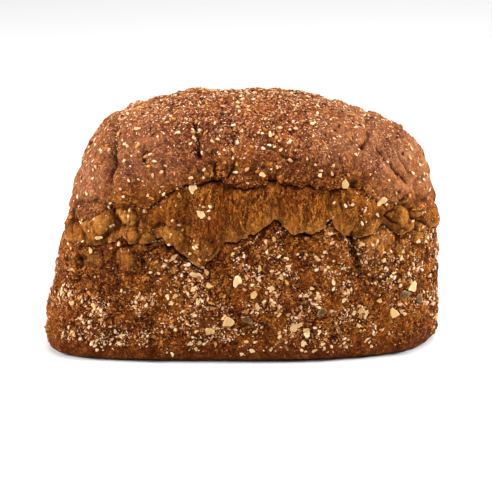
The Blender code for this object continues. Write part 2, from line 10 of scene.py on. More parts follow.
import bpy
import numpy as np
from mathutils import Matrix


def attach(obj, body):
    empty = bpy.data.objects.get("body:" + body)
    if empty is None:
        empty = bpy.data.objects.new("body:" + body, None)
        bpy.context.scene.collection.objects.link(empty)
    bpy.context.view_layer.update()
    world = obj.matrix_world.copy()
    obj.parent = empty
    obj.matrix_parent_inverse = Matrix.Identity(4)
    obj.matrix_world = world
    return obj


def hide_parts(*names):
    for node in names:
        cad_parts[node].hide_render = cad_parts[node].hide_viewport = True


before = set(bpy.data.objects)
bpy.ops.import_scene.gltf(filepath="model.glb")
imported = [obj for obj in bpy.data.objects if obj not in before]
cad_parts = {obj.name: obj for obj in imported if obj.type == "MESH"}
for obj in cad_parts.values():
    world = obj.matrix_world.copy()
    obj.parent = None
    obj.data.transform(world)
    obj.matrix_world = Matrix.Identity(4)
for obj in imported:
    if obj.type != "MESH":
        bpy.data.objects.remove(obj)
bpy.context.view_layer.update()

MM = 0.001

# Overall size and the smooth form, as in the CAD
LENGTH = 0.239
DEPTH = 0.115
HEIGHT = 0.150
FOOT_RADIUS = 0.006
CROWN_START = 0.106
CROWN_RISE = HEIGHT - CROWN_START
LEFT_LEAN = (0.105, 1.09)
RIGHT_BELLY_HEIGHT = 0.033
RIGHT_BELLY_CURVE = 1.67
SIDE_BELLY = 0.003
SIDE_BELLY_SPAN = 0.130
LEFT_SQUARENESS = (4.6, 4.4)
RIGHT_SQUARENESS = (2.7, 2.5)
RIDGE_REACH = (0.070, 0.080)
RIDGE_BEND = 4.0
RIDGE_FALL_START = (0.039, 0.022)
RIDGE_FALL = (7.7, 3.9)
END_FULLNESS = (0.62, 1.05)
SIDE_FULLNESS = 0.82

# The upper tear, as run and height on the front, and its uneven height behind
UPPER_TEAR = (
    (-0.13, 0.083), (-0.113, 0.082), (-0.098, 0.0885), (-0.0874, 0.096), (-0.074, 0.0965),
    (-0.0654, 0.0935), (-0.0544, 0.101), (-0.0461, 0.1065), (-0.0162, 0.1105), (-0.0018, 0.1055),
    (0.011, 0.1065), (0.0205, 0.1118), (0.026, 0.1075), (0.043, 0.1066), (0.054, 0.104),
    (0.0673, 0.107), (0.083, 0.0965), (0.0996, 0.0917), (0.117, 0.085), (0.133, 0.085),
)
BACK_TEAR_HEIGHT = 0.104
BACK_TEAR_UNEVEN = 0.005
BACK_TEAR_STEP = 0.013
BACK_TEAR_RISE = 3.0
LAST_STEP = 1.5
TEAR_WOBBLE = 0.0014
TEAR_WOBBLE_SIZE = 0.0065
FINE_WOBBLE = 0.0012
FINE_WOBBLE_SIZE = 0.0026

# The lower tear and its lobes
LOBE_CUSPS = (
    (-0.108, 0.074), (-0.079, 0.0775), (-0.0521, 0.0785), (-0.044, 0.0715), (-0.012, 0.075),
    (0.019, 0.0875), (0.053, 0.0885), (0.0855, 0.0845), (0.106, 0.077),
)
LOBE_DROPS = (0.0050, 0.0055, 0.0030, 0.0125, 0.0040, 0.0100, 0.0115, 0.0060, 0.0050)
# How far each lobe leans: above 1 its lowest place moves towards +X
LOBE_SKEWS = (1.0, 0.8, 1.0, 1.25, 1.0, 1.1, 0.75, 0.9, 1.0)
LOBE_WIDTHS = (0.011, 0.043)
LOBE_HEIGHTS = (0.075, 0.091)
LOBE_DROP_RANGE = (0.001, 0.014)
LOBE_SKEW_RANGE = (0.6, 1.6)
LOBE_ROUNDNESS = 0.7
LOBE_SWELL = 0.0034
LOBE_PILLOW = 0.5
LOBE_MEAN = 0.4
LEAST_BAND = 0.012
BAND_EDGE = (-0.0002, 0.0004)

# Cross-section of each tear
LIP = (0.0013, 0.0065)
STEP_BACK = (0.0012, 0.0060)
GROOVE = (0.0032, 0.0009)
SAG = (0.0006, 0.0014)
SAG_CENTRE = 0.0006
UPPER_STEP = 0.6
END_TEAR_SHARE = 0.45
FRONT_TEAR_RUNS = (-0.130, -0.085, -0.055, -0.040, 0.068, 0.082, 0.120)
FRONT_TEAR_SHARES = (0.35, 0.40, 0.70, 1.00, 1.00, 0.75, 0.45)
FRONT_TEAR_END = (0.120, 0.130)
TEAR_UNEVEN = 0.45
TEAR_UNEVEN_SIZE = 0.022
# Share of the upper tear's strength along the run, and the cosines of twice the turn round
# the girth over which both tears open from the ends to the long sides
UPPER_FADE_RUNS = (-0.115, -0.095, -0.045, 0.058, 0.072, 0.120, 0.150)
UPPER_FADE_SHARES = (1.0, 0.7, 1.0, 1.0, 0.40, 0.35, 1.0)
SIDE_SPREAD = (-0.5, 0.3)

# Furrows of the front, as x and height of both ends and depth
FURROWS = (
    (-0.075, 0.135, -0.0735, 0.1175, 0.0032),
    (-0.0735, 0.1175, -0.0755, 0.105, 0.0018),
    (-0.057, 0.137, -0.056, 0.12, 0.0018),
    (-0.028, 0.142, -0.025, 0.133, 0.0026),
    (-0.025, 0.133, -0.0245, 0.124, 0.003),
    (-0.016, 0.123, -0.015, 0.112, 0.0022),
    (-0.007, 0.142, -0.005, 0.131, 0.002),
    (-0.004, 0.12, -0.0085, 0.112, 0.0024),
    (0.024, 0.124, 0.033, 0.118, 0.0028),
    (0.027, 0.137, 0.036, 0.13, 0.0018),
    (0.041, 0.115, 0.048, 0.113, 0.0018),
    (0.048, 0.141, 0.049, 0.133, 0.0014),
    (0.069, 0.126, 0.074, 0.137, 0.0024),
    (0.078, 0.125, 0.084, 0.119, 0.0016),
    (0.086, 0.117, 0.096, 0.104, 0.0022),
    (0.05, 0.103, 0.0508, 0.094, 0.0014),
    (0.063, 0.077, 0.064, 0.058, 0.0028),
    (0.091, 0.033, 0.091, 0.018, 0.0014),
)
FURROW_WIDTH = 0.0034
FACE_BLEND = 0.010
BACK_FURROWS = 9
BACK_FURROW_PLACE = (0.2, 0.8)
BACK_FURROW_LEAN = (-0.006, 0.006)
BACK_FURROW_SPAN = 0.09
BACK_FURROW_LOW = (0.112, 0.122)
BACK_FURROW_LENGTH = (0.012, 0.026)
BACK_FURROW_DEPTH = (0.0014, 0.0026)

# Lumps of torn crust, as x, height, half width, half height and swell
TORN_LUMPS = (
    (-0.0845, 0.0855, 0.0125, 0.0105, 0.003),
    (-0.0665, 0.0895, 0.0062, 0.0058, 0.002),
    (-0.0555, 0.0735, 0.005, 0.0046, 0.0018),
    (0.0918, 0.0842, 0.005, 0.0062, 0.0026),
    (0.103, 0.0868, 0.0052, 0.0058, 0.0024),
    (0.0955, 0.0925, 0.0034, 0.0036, 0.0014),
    (0.105, 0.099, 0.0048, 0.0062, 0.0016),
    (0.077, 0.068, 0.012, 0.017, 0.0022),
    (-0.041, 0.0785, 0.0095, 0.0048, 0.002),
    (-0.0235, 0.0715, 0.007, 0.0052, 0.002),
    (-0.0635, 0.078, 0.0036, 0.0032, 0.0012),
)
BACK_LUMPS = 11
BACK_LUMP_SPAN = 0.105
BACK_LUMP_HEIGHT = (0.070, 0.101)
BACK_LUMP_WIDTH = (0.0055, 0.0140)
BACK_LUMP_FLATNESS = (0.55, 1.00)
BACK_LUMP_SWELL = (0.0014, 0.0030)
LUMP_CRACK = (1.08, 0.14, 0.5)
# Share of painted shade in the crack round each lump
LUMP_CRACK_SHADE = 0.60
BROAD_SWELL = (0.036, 0.0022)
CROWN_CALM = 0.7
CRUST_LUMPS = (0.013, 0.0030)
BENDING = (0.015, 0.0035)
MEAN_FOLD = 0.25

# Seeds of the draws and of the noises
UPPER_TEAR_SEED = 3
LOWER_TEAR_SEED = 4
FURROW_SEED = 9
WOBBLE_SEEDS = (51, 53)
STRENGTH_SEED = 57
BEND_SEEDS = (61, 63)
SWELL_SEED = 11
LUMP_SEED = 23
BACK_LUMP_SEED = 31

# Finer relief that only the scene has. Thin cracks, as x and height of both ends and depth
THIN_CRACKS = (
    (-0.0752, 0.135, -0.0745, 0.126, 0.0022),
    (-0.0745, 0.126, -0.0738, 0.1175, 0.0028),
    (-0.0738, 0.1175, -0.075, 0.108, 0.0013),
    (-0.0568, 0.129, -0.0562, 0.12, 0.0009),
    (-0.028, 0.142, -0.0255, 0.133, 0.0013),
    (-0.0255, 0.133, -0.0245, 0.124, 0.0022),
    (-0.0225, 0.131, -0.0185, 0.1335, 0.0009),
    (-0.0155, 0.1195, -0.016, 0.1145, 0.0014),
    (-0.0045, 0.119, -0.0085, 0.112, 0.0018),
    (-0.007, 0.14, -0.005, 0.131, 0.001),
    (0.027, 0.137, 0.035, 0.131, 0.0009),
    (0.035, 0.131, 0.038, 0.1245, 0.0008),
    (0.064, 0.132, 0.063, 0.1285, 0.0012),
    (0.069, 0.126, 0.072, 0.13, 0.0017),
    (0.0725, 0.137, 0.0735, 0.127, 0.0012),
    (0.078, 0.125, 0.084, 0.119, 0.0014),
    (0.086, 0.117, 0.096, 0.104, 0.0018),
    (0.09, 0.124, 0.098, 0.109, 0.0011),
    (0.02, 0.1245, 0.033, 0.1215, 0.0014),
    (0.012, 0.118, 0.019, 0.111, 0.001),
    (-0.09, 0.118, -0.088, 0.104, 0.0009),
    (-0.064, 0.113, -0.062, 0.103, 0.001),
    (-0.045, 0.127, -0.044, 0.113, 0.0009),
    (0.08, 0.0865, 0.092, 0.0945, 0.0018),
    (0.092, 0.0945, 0.0975, 0.0975, 0.0012),
    (0.0815, 0.087, 0.088, 0.0815, 0.0016),
    (0.0905, 0.079, 0.096, 0.077, 0.0014),
    (0.0985, 0.083, 0.104, 0.08, 0.0016),
    (0.104, 0.08, 0.11, 0.0745, 0.0014),
    (0.1005, 0.092, 0.106, 0.0915, 0.0013),
    (0.106, 0.0915, 0.1075, 0.086, 0.0013),
    (0.0628, 0.08, 0.064, 0.0665, 0.0016),
    (-0.0985, 0.0885, -0.0985, 0.0765, 0.0018),
    (-0.0885, 0.0955, -0.083, 0.0985, 0.0014),
    (-0.0735, 0.093, -0.074, 0.083, 0.0012),
    (-0.061, 0.089, -0.06, 0.08, 0.0012),
    (-0.048, 0.09, -0.03, 0.085, 0.0008),
    (-0.013, 0.103, -0.0125, 0.093, 0.001),
    (0.0065, 0.0545, 0.01, 0.057, 0.0016),
)
# Lumps too small for the solid, as x, height, half width, half height and swell
SMALL_TORN_LUMPS = (
    (-0.087, 0.064, 0.007, 0.0062, 0.0016),
    (-0.079, 0.051, 0.0078, 0.0058, 0.0013),
    (-0.0665, 0.063, 0.0058, 0.0078, 0.0018),
    (-0.0588, 0.0715, 0.0048, 0.004, 0.0014),
    (-0.05, 0.059, 0.0062, 0.0056, 0.0014),
    (-0.098, 0.056, 0.005, 0.0085, 0.0014),
    (-0.029, 0.06, 0.005, 0.0046, 0.0012),
    (0.094, 0.065, 0.0062, 0.007, 0.0014),
    (0.105, 0.072, 0.0048, 0.0056, 0.0014),
)
THIN_CRACK_WIDTH = 0.0008
# Depth at which a thin crack's painted shade is full
FULLY_SHADED_DEPTH = 0.0016
# How far thin cracks and pits wander, as the size of the noise and its reach
CRACK_WANDER = (0.004, 0.0010)
CRACK_WANDER_SEEDS = (71, 73)
# Pits, as x, height, radius and depth
PITS = (
    (-0.0925, 0.062, 0.0034, 0.0026),
    (-0.058, 0.0625, 0.0026, 0.0022),
    (0.018, 0.111, 0.003, 0.0024),
    (0.0625, 0.107, 0.0028, 0.0018),
    (-0.074, 0.121, 0.0016, 0.0018),
    (-0.056, 0.1215, 0.0014, 0.0014),
    (-0.0279, 0.14, 0.0017, 0.0022),
    (-0.025, 0.127, 0.0016, 0.002),
    (0.0165, 0.13, 0.0018, 0.0016),
    (0.069, 0.1275, 0.0018, 0.002),
    (0.04, 0.018, 0.002, 0.0012),
)
# Share of painted shade in the pits
PIT_SHADE = 0.9
# The small unevenness as size and height, the noise that bends it, and the torn band's fibres
# as width, length and height
SMALL_LUMPS = ((0.0085, 0.0012), (0.0048, 0.0011), (0.0027, 0.0008))
SMALL_LUMP_SEED = 31
BENT = (0.005, 0.0012)
BENT_SEED = 45
FIBRES = (0.0021, 0.0120, 0.0009)
FIBRE_SEED = 41
TORN_SMALL_LOSS = 0.3
# Height at which the small relief's painted highlight and painted shade are full
RAISED_HEIGHT = 0.0007
CROWN_SMALL_SHARE = 0.75
# How far and how often the tears' grooves open and close, and their least and greatest share
GROOVE_UNEVEN = (1.8, 0.0080)
GROOVE_RANGE = (0.3, 2.6)
GROOVE_SEEDS = (65, 67)

# Painted shadow beside the tears, as reach and share below the lobes, over crust that is
# darker there too, and above the crown's lip, where it is strongest in the middle of the front
BELOW_LOBES = (0.0030, 1.05)
ABOVE_LIP = (0.0050, 0.40)
LIP_SHADE_RUNS = (-0.060, -0.020, 0.035, 0.080)
LIP_SHADE_SHARES = (0.4, 1.0, 1.0, 0.4)
LIP_SHADE_REACH = 1.6
LIP_SHADE_GAIN = 1.3
SHADE_SHARE = 0.55
DARK_UNEVEN = (0.006, 0.75, 0.9)
DARK_SEED = 91
TORN_EDGE = 0.0006
# Painted shade along the foot, as the heights where it is gone and where it is full
FOOT_SHADE = (0.016, 0.006)

# How far above the tear the crown turns to its own browns
CROWN_BROWNS = (0.0, 0.024)

# Where the crown's shoulders are paler, as x, height, half width, half height and share:
# painted sheen and rim light, over some pale flour dust
DUST_AND_SHEEN = (
    (0.099, 0.112, 0.02, 0.02, 0.85),
    (0.068, 0.134, 0.02, 0.014, 0.6),
    (-0.09, 0.112, 0.018, 0.02, 0.55),
    (-0.062, 0.132, 0.018, 0.014, 0.5),
    (-0.045, 0.116, 0.012, 0.01, 0.4),
)
DUST_AND_SHEEN_UNEVEN = (0.008, 0.9)
DUST_AND_SHEEN_MOST = 1.3
DUST_AND_SHEEN_SEED = 93

# How far up from their lower edge the lobes are golden, and the heights over which lumps
# turn golden
GOLDEN_EDGE = 0.0045
GOLDEN_HEIGHTS = (0.048, 0.084)

# How pale the torn band is along the front, as x and share
PALE_X = (-0.090, -0.055, -0.030, -0.016, 0.046, 0.054, 0.080)
PALE_SHARE = (0.90, 0.45, 0.45, 0.90, 0.95, 0.65, 0.60)
PALE_BEHIND = 0.7

# Masks that the crust's material reads
SHOWN_MASKS = ("pale", "crown_brown", "golden", "dust_and_sheen", "foot", "dark", "raised")

# Lattice and gain of the noise, the fine steps that the girth is measured by, and the seed
# that a tear's fine wobble adds
LATTICE = 256
NOISE_GAIN = 1.6
FINE_STEPS = 8001
FINE_WOBBLE_SEED = 200

# Mesh of the crust: columns round it, and rings up each stretch of it
COLUMNS = 620
FOOT_RINGS = 5
WALL_RINGS = 58
BAND_RINGS = 16
CROWN_RINGS = 54
RINGS_AT_TEAR = (-0.0032, -0.0018, -0.0009, -0.0004, 0.0, 0.0004, 0.0008, 0.0015, 0.0026, 0.0038)

# Grains that stand out on the front, as x, height and length
FRONT_FLAKES = (
    (-0.0285, 0.1055, 0.0056),
    (-0.0235, 0.091, 0.005),
    (-0.003, 0.0515, 0.0066),
    (-0.0087, 0.027, 0.007),
    (-0.0196, 0.02, 0.0062),
    (-0.027, 0.054, 0.006),
    (0.006, 0.0435, 0.005),
    (0.0298, 0.022, 0.0056),
    (0.0373, 0.019, 0.005),
    (0.069, 0.031, 0.0052),
    (0.0885, 0.027, 0.0066),
    (0.1, 0.042, 0.007),
    (0.0795, 0.096, 0.006),
    (0.0585, 0.1075, 0.0052),
)
FLAKE_SHAPE = (0.84, 0.0009)

# Kernels that stand out on the front, as x and height
FRONT_KERNELS = ((0.0457, 0.0310), (0.0950, 0.0380), (0.1040, 0.0330))
FRONT_MARKS = {"oat_flakes": FRONT_FLAKES, "sunflower_kernels": FRONT_KERNELS}

# Grains by kind: how many are drawn, their length, width and thickness, how much their sizes
# vary, how near two of them lie, the share of their thickness that is sunk, and their tilt
GRAINS = {
    "oat_flakes": (420, (0.0025, 0.0018, 0.0006), 0.45, 0.0042, 0.20, 0.20),
    "sunflower_kernels": (3, (0.0076, 0.0040, 0.0018), 0.08, 0.0100, 0.20, 0.08),
    "sesame_seeds": (900, (0.0026, 0.0016, 0.0009), 0.15, 0.0022, 0.20, 0.22),
    "golden_seeds": (300, (0.0032, 0.0018, 0.0010), 0.20, 0.0040, 0.25, 0.20),
    "brown_seeds": (220, (0.0028, 0.0016, 0.0009), 0.20, 0.0040, 0.30, 0.20),
    "bran": (9600, (0.0011, 0.0006, 0.0003), 0.55, 0.0007, 0.00, 0.35),
}
SHAPE_VARIETY = (0.85, 1.15)
GRAIN_SEED = 12
SPARE_DRAWS = 1.6
DRAWS_AT_ONCE = 500
GROUND_SOFTENINGS = 3

# How thickly each kind lies on the side, on the crown, on its top and on the torn band
DENSITIES = {
    "oat_flakes": (1.0, 0.04, 0.0, 0.10),
    "sunflower_kernels": (1.0, 0.0, 0.0, 0.0),
    "sesame_seeds": (0.8, 0.18, 0.16, 0.3),
    "golden_seeds": (1.0, 0.30, 0.5, 0.25),
    "brown_seeds": (0.7, 0.35, 0.8, 0.0),
    "bran": (1.0, 0.06, 0.34, 0.15),
}

# Heights and places where the grains begin, thin out or are missing
CLEAR_OF_DARK = (0.2, 0.6)
SIDE_START = (0.003, 0.017)
SIDE_THINS = (0.045, 0.066)
SIDE_LOSS = 0.45
BALD_LEFT = ((0.045, 0.060), (0.040, 0.048), 0.75)
BALD_FOOT = ((0.050, 0.080), (0.030, 0.022), 0.80)
CLEAN_BAND = ((-0.022, -0.014), (0.046, 0.052))
CLUMPS = (0.011, 0.45, 1.9, 0.05)
CLUMP_SEED = 81
CROWN_TOP = (0.118, 0.146)

# Rings of a flake of unit size from the top to the underside, as radius and level. A bran chip
# has two alone, which keeps the piece under 200,000 triangles.
OAT_RINGS = ((0.22, 0.50), (0.40, 0.46), (0.49, 0.22), (0.49, -0.26), (0.40, -0.50))
BRAN_RINGS = ((0.43, 0.46), (0.50, -0.50))

# Forms of the flat kinds, as how many, sides, rings, unevenness and cup, and of the seeds, as
# loops, sides, taper and point
FLAKE_FORMS = {"oat_flakes": (8, 12, OAT_RINGS, 0.2, 0.5), "bran": (6, 5, BRAN_RINGS, 0.3, 0.3)}
KERNEL_FORM = (9, 10, 0.5, 0.8)
SEED_FORM = (5, 7, 0.35, 0.8)

# Looks of the grains: slot, pale and deep colour, colour and share of the rim, roughness,
# specular and height of the surface's noise
GRAIN_LOOKS = {
    "oat_flakes": ("oat_flake", (250, 228, 188), (210, 172, 108), (184, 126, 66),
                   0.45, 0.8, 0.1, 0.25),
    "sunflower_kernels": ("sunflower_kernel", (104, 78, 44), (66, 46, 26), (176, 140, 92),
                          0.5, 0.6, 0.08, 0.2),
    "sesame_seeds": ("sesame", (254, 222, 182), (200, 140, 86), (166, 102, 50),
                     0.45, 0.45, 0.3, 0.1),
    "golden_seeds": ("golden_seed", (216, 156, 68), (160, 88, 20), (136, 70, 16),
                     0.5, 0.4, 0.2, 0.1),
    "brown_seeds": ("brown_seed", (104, 54, 28), (42, 18, 12), (30, 12, 8), 0.5, 0.5, 0.08, 0.1),
    "bran": ("bran", (255, 230, 192), (188, 120, 64), (150, 84, 36), 0.35, 0.75, 0.1, 0.2),
}

# How far crumbs of colour stray from their pattern, along X, Y and Z
CRUMB_WANDER = (0.003, 0.003, 0.003)

# Lights, as place, width and power, with the place that they are turned to, the pale stage,
# and the camera's tilt, place and lens
LIGHTS = {
    "light_above": ((0.5, 0.6, 4.0), 4.0, 240.0),
    "light_right": ((0.85, -0.18, 0.60), 0.35, 12.0),
    "light_left": ((-0.85, -0.20, 0.45), 0.35, 13.0),
    "light_front": ((0.35, -0.85, 0.95), 0.3, 1.5),
}
LIT_PLACE = (0.0, 0.0, 0.07)
SURROUNDINGS = 0.15
FLOOR_GREY = 0.70
FLOOR_REACH = 4.0
FLOOR_LEVEL = -0.0002
CAMERA_TILT = math.radians(16.0)
CAMERA_DISTANCE = 0.95
CAMERA_TARGET = 0.072
CAMERA_LENS = 114.6
CAMERA_SHIFT = (0.0067, -0.055)


def smooth_step(value, start, end):
    """0 before start, 1 after end, and the S-curve 3t^2 - 2t^3 between them."""
    share = np.clip((value - start) / (end - start), 0.0, 1.0)
    return share * share * (3.0 - 2.0 * share)


def noise(points, size, seed):
    """Gradient noise: each corner of a cubic lattice has a fixed slope, blended by S-curves."""
    slopes = np.random.default_rng(seed).normal(size=(LATTICE, 3))
    slopes /= np.linalg.norm(slopes, axis=1, keepdims=True)
    order = np.random.default_rng(seed + 1).permutation(LATTICE)
    scaled = points / size
    cell = np.floor(scaled).astype(np.int64)
    part = scaled - cell
    blend = part * part * (3.0 - 2.0 * part)
    total = np.zeros(points.shape[:-1])
    for corner in np.ndindex(2, 2, 2):
        place = (cell + np.array(corner)) & (LATTICE - 1)
        pick = order[place[..., 0]]
        for axis in (1, 2):
            pick = order[(pick + place[..., axis]) & (LATTICE - 1)]
        weight = np.prod(np.where(corner, blend, 1.0 - blend), axis=-1)
        total += weight * np.sum(slopes[pick] * (part - np.array(corner)), axis=-1)
    return NOISE_GAIN * total


def climb_of(height):
    """Climb at a height: a share of the crown's rise below 0, and an angle over the crown."""
    share = (height - CROWN_START) / CROWN_RISE
    return np.where(share < 0.0, share, np.arcsin(np.clip(share, 0.0, 1.0)))


def end_share(height, left):
    """The share of the full half length that each end wall reaches at a height."""
    lean = LEFT_LEAN[0] * height + LEFT_LEAN[1] * height**2
    belly = RIGHT_BELLY_CURVE * (height - RIGHT_BELLY_HEIGHT) ** 2
    return 1.0 - np.where(left, lean, belly) / (LENGTH / 2)


def ridge_height(x):
    """Height of the crown's ridge, which falls as a parabola towards each end."""
    left = RIDGE_FALL[0] * np.clip(-x - RIDGE_FALL_START[0], 0.0, None) ** 2
    right = RIDGE_FALL[1] * np.clip(x - RIDGE_FALL_START[1], 0.0, None) ** 2
    return HEIGHT - left - right


def plan_direction(angle, square):
    """The point of a unit superellipse in the direction of an angle."""
    across, along = np.cos(angle), np.sin(angle)
    reach = (np.abs(across) ** square + np.abs(along) ** square) ** (1.0 / square)
    return across / reach, along / reach


def smooth_loaf(angle, climb, inset=0.0):
    """Points of the loaf without its relief, at angles of the plan and climbs.

    The wall is a superellipse at each height. The crown's arcs rise from it to the ridge, a
    line along X, and both end walls are then brought in by their share at each height."""
    angle, climb = np.broadcast_arrays(angle, climb)
    left = np.cos(angle) < 0.0
    wall = CROWN_START + CROWN_RISE * np.minimum(climb, 0.0)
    over = np.clip(climb, 0.0, math.pi / 2)
    share = np.clip(wall / CROWN_START, 0.0, 1.0)
    low = np.where(left, LEFT_SQUARENESS[0], RIGHT_SQUARENESS[0])
    high = np.where(left, LEFT_SQUARENESS[1], RIGHT_SQUARENESS[1])
    across, along = plan_direction(angle, low + (high - low) * share)
    belly = SIDE_BELLY * (1.0 - np.sin(math.pi * np.clip(wall / SIDE_BELLY_SPAN, 0.0, 1.0)))
    wall_x = (LENGTH / 2 - inset) * across
    wall_y = (DEPTH / 2 - belly - inset) * along
    reach = np.where(left, RIDGE_REACH[0], RIDGE_REACH[1])
    ridge_x = wall_x / (1.0 + np.abs(wall_x / reach) ** RIDGE_BEND) ** (1.0 / RIDGE_BEND)
    turn = np.cos(over)
    fullness = np.where(left, END_FULLNESS[0], END_FULLNESS[1])
    x = ridge_x + (wall_x - ridge_x) * turn**fullness
    y = wall_y * turn**SIDE_FULLNESS
    crown = CROWN_START + (ridge_height(ridge_x) - CROWN_START) * np.sin(over)
    z = np.where(climb < 0.0, wall, crown)
    return np.stack([x * end_share(z, left), y, z], axis=-1)


def even_columns(count):
    """Angles of the plan, their runs and the girth. The angles start at the middle of the
    back and are evenly spaced round each half, so that the front mirrors the back."""
    fine = np.linspace(0.5 * math.pi, 2.5 * math.pi, FINE_STEPS)
    foot = smooth_loaf(fine, climb_of(np.full_like(fine, FOOT_RADIUS)))
    steps = np.linalg.norm(np.diff(foot, axis=0), axis=1)
    run = np.concatenate([[0.0], np.cumsum(steps)])
    girth = run[-1]
    run -= np.interp(1.5 * math.pi, fine, run)
    left = np.linspace(run[0], 0.0, count // 2, endpoint=False)
    right = np.linspace(0.0, run[-1], count // 2, endpoint=False)
    even = np.concatenate([left, right])
    return np.interp(even, run, fine), even, girth


def noise_along(run, girth, size, seed):
    """Noise along a run, read on a circle so that it meets itself after one girth."""
    turn = 2.0 * math.pi * run / girth
    circle = np.stack([np.cos(turn), np.sin(turn), np.zeros_like(turn)], axis=-1)
    return noise(circle * girth / (2.0 * math.pi), size, seed)


def tear_wobble(run, girth, seed):
    """Small sideways wander of a tear, as two sizes of noise along the run."""
    broad = TEAR_WOBBLE * noise_along(run, girth, TEAR_WOBBLE_SIZE, seed)
    return broad + FINE_WOBBLE * noise_along(run, girth, FINE_WOBBLE_SIZE, seed + FINE_WOBBLE_SEED)


def upper_tear(run, girth):
    """Height of the upper tear: through its points on the front, and by a draw behind."""
    draw = np.random.default_rng(UPPER_TEAR_SEED)
    runs = [place for place, _ in UPPER_TEAR]
    heights = [height for _, height in UPPER_TEAR]
    start, end = runs[-1], girth + runs[0]
    while runs[-1] + LAST_STEP * BACK_TEAR_STEP < end:
        runs.append(runs[-1] + BACK_TEAR_STEP)
        rise = min(1.0, BACK_TEAR_RISE * math.sin(math.pi * (runs[-1] - start) / (end - start)))
        middle = heights[0] + (BACK_TEAR_HEIGHT - heights[0]) * rise
        heights.append(middle + draw.uniform(-1.0, 1.0) * BACK_TEAR_UNEVEN)
    return np.interp(run, runs, heights, period=girth) + tear_wobble(run, girth, WOBBLE_SEEDS[0])


def lower_tear(run, girth):
    """Height of the lower tear, and the swell of the lobe above it, at each run."""
    draw = np.random.default_rng(LOWER_TEAR_SEED)
    runs = [place for place, _ in LOBE_CUSPS]
    heights = [height for _, height in LOBE_CUSPS]
    drops = list(LOBE_DROPS)
    skews = list(LOBE_SKEWS)
    end = girth + runs[0]
    while runs[-1] + LAST_STEP * LOBE_WIDTHS[1] < end:
        runs.append(runs[-1] + draw.uniform(*LOBE_WIDTHS))
        heights.append(draw.uniform(*LOBE_HEIGHTS))
        drops.append(draw.uniform(*LOBE_DROP_RANGE))
        skews.append(draw.uniform(*LOBE_SKEW_RANGE))
    runs = np.array([*runs, end])
    heights = np.array([*heights, heights[0]])
    place = np.mod(run - runs[0], girth) + runs[0]
    lobe = np.clip(np.searchsorted(runs, place, side="right") - 1, 0, len(drops) - 1)
    share = np.clip((place - runs[lobe]) / (runs[lobe + 1] - runs[lobe]), 0.0, 1.0)
    arch = np.sin(math.pi * share ** np.array(skews)[lobe])
    height = np.interp(place, runs, heights) - np.array(drops)[lobe] * arch**LOBE_ROUNDNESS
    height += tear_wobble(run, girth, WOBBLE_SEEDS[1])
    return np.minimum(height, upper_tear(run, girth) - LEAST_BAND), arch**2


def groove_width(run, girth, seed):
    """Half width of a tear's groove, which opens and closes along the run."""
    amount, size = GROOVE_UNEVEN
    uneven = 1.0 + amount * noise_along(run, girth, size, seed)
    return GROOVE[1] * np.clip(uneven, *GROOVE_RANGE)


def tear_section(above, opening):
    """How far a tear stands out of the wall and sags, at a height above its line, with the
    half width to which its groove opens."""
    lip = LIP[0] * np.exp(-np.abs(above) / LIP[1])
    step_back = STEP_BACK[0] * np.exp(-np.abs(above) / STEP_BACK[1])
    groove = GROOVE[0] * np.exp(-((above / opening) ** 2))
    sag = SAG[0] * np.exp(-(((above - SAG_CENTRE) / SAG[1]) ** 2))
    return np.where(above > 0.0, lip, -step_back) - groove, sag


def tear_strength(run, girth):
    """The tears open widest along both long sides, unevenly, and are shallow at the ends."""
    along_side = smooth_step(np.cos(4.0 * math.pi * run / girth), *SIDE_SPREAD)
    behind = END_TEAR_SHARE + (1.0 - END_TEAR_SHARE) * along_side
    front = np.interp(run, FRONT_TEAR_RUNS, FRONT_TEAR_SHARES)
    on_front = 1.0 - smooth_step(np.abs(run), *FRONT_TEAR_END)
    uneven = 1.0 + TEAR_UNEVEN * noise_along(run, girth, TEAR_UNEVEN_SIZE, STRENGTH_SEED)
    return uneven * (behind + (front - behind) * on_front)


def to_segment(x, z, ends):
    """Distance of each x and height from the straight line between two ends."""
    x0, z0, x1, z1 = ends
    along_x, along_z = x1 - x0, z1 - z0
    share = ((x - x0) * along_x + (z - z0) * along_z) / (along_x**2 + along_z**2)
    share = np.clip(share, 0.0, 1.0)
    return np.hypot(x - x0 - share * along_x, z - z0 - share * along_z)


def back_furrows():
    """Furrows of the back of the crown, spread along it by a seeded draw."""
    draw = np.random.default_rng(FURROW_SEED)
    for number in range(BACK_FURROWS):
        place = (number + draw.uniform(*BACK_FURROW_PLACE)) / BACK_FURROWS
        x = BACK_FURROW_SPAN * (2.0 * place - 1.0)
        low = draw.uniform(*BACK_FURROW_LOW)
        high = low + draw.uniform(*BACK_FURROW_LENGTH)
        high_x = x + draw.uniform(*BACK_FURROW_LEAN)
        yield x, low, high_x, high, draw.uniform(*BACK_FURROW_DEPTH)


def back_lumps():
    """Lumps of torn crust along the back, spread by a seeded draw."""
    draw = np.random.default_rng(BACK_LUMP_SEED)
    for number in range(BACK_LUMPS):
        place = (number + draw.uniform(0.0, 1.0)) / BACK_LUMPS
        half_width = draw.uniform(*BACK_LUMP_WIDTH)
        half_height = half_width * draw.uniform(*BACK_LUMP_FLATNESS)
        height = draw.uniform(*BACK_LUMP_HEIGHT)
        swell = draw.uniform(*BACK_LUMP_SWELL)
        yield BACK_LUMP_SPAN * (2.0 * place - 1.0), height, half_width, half_height, swell


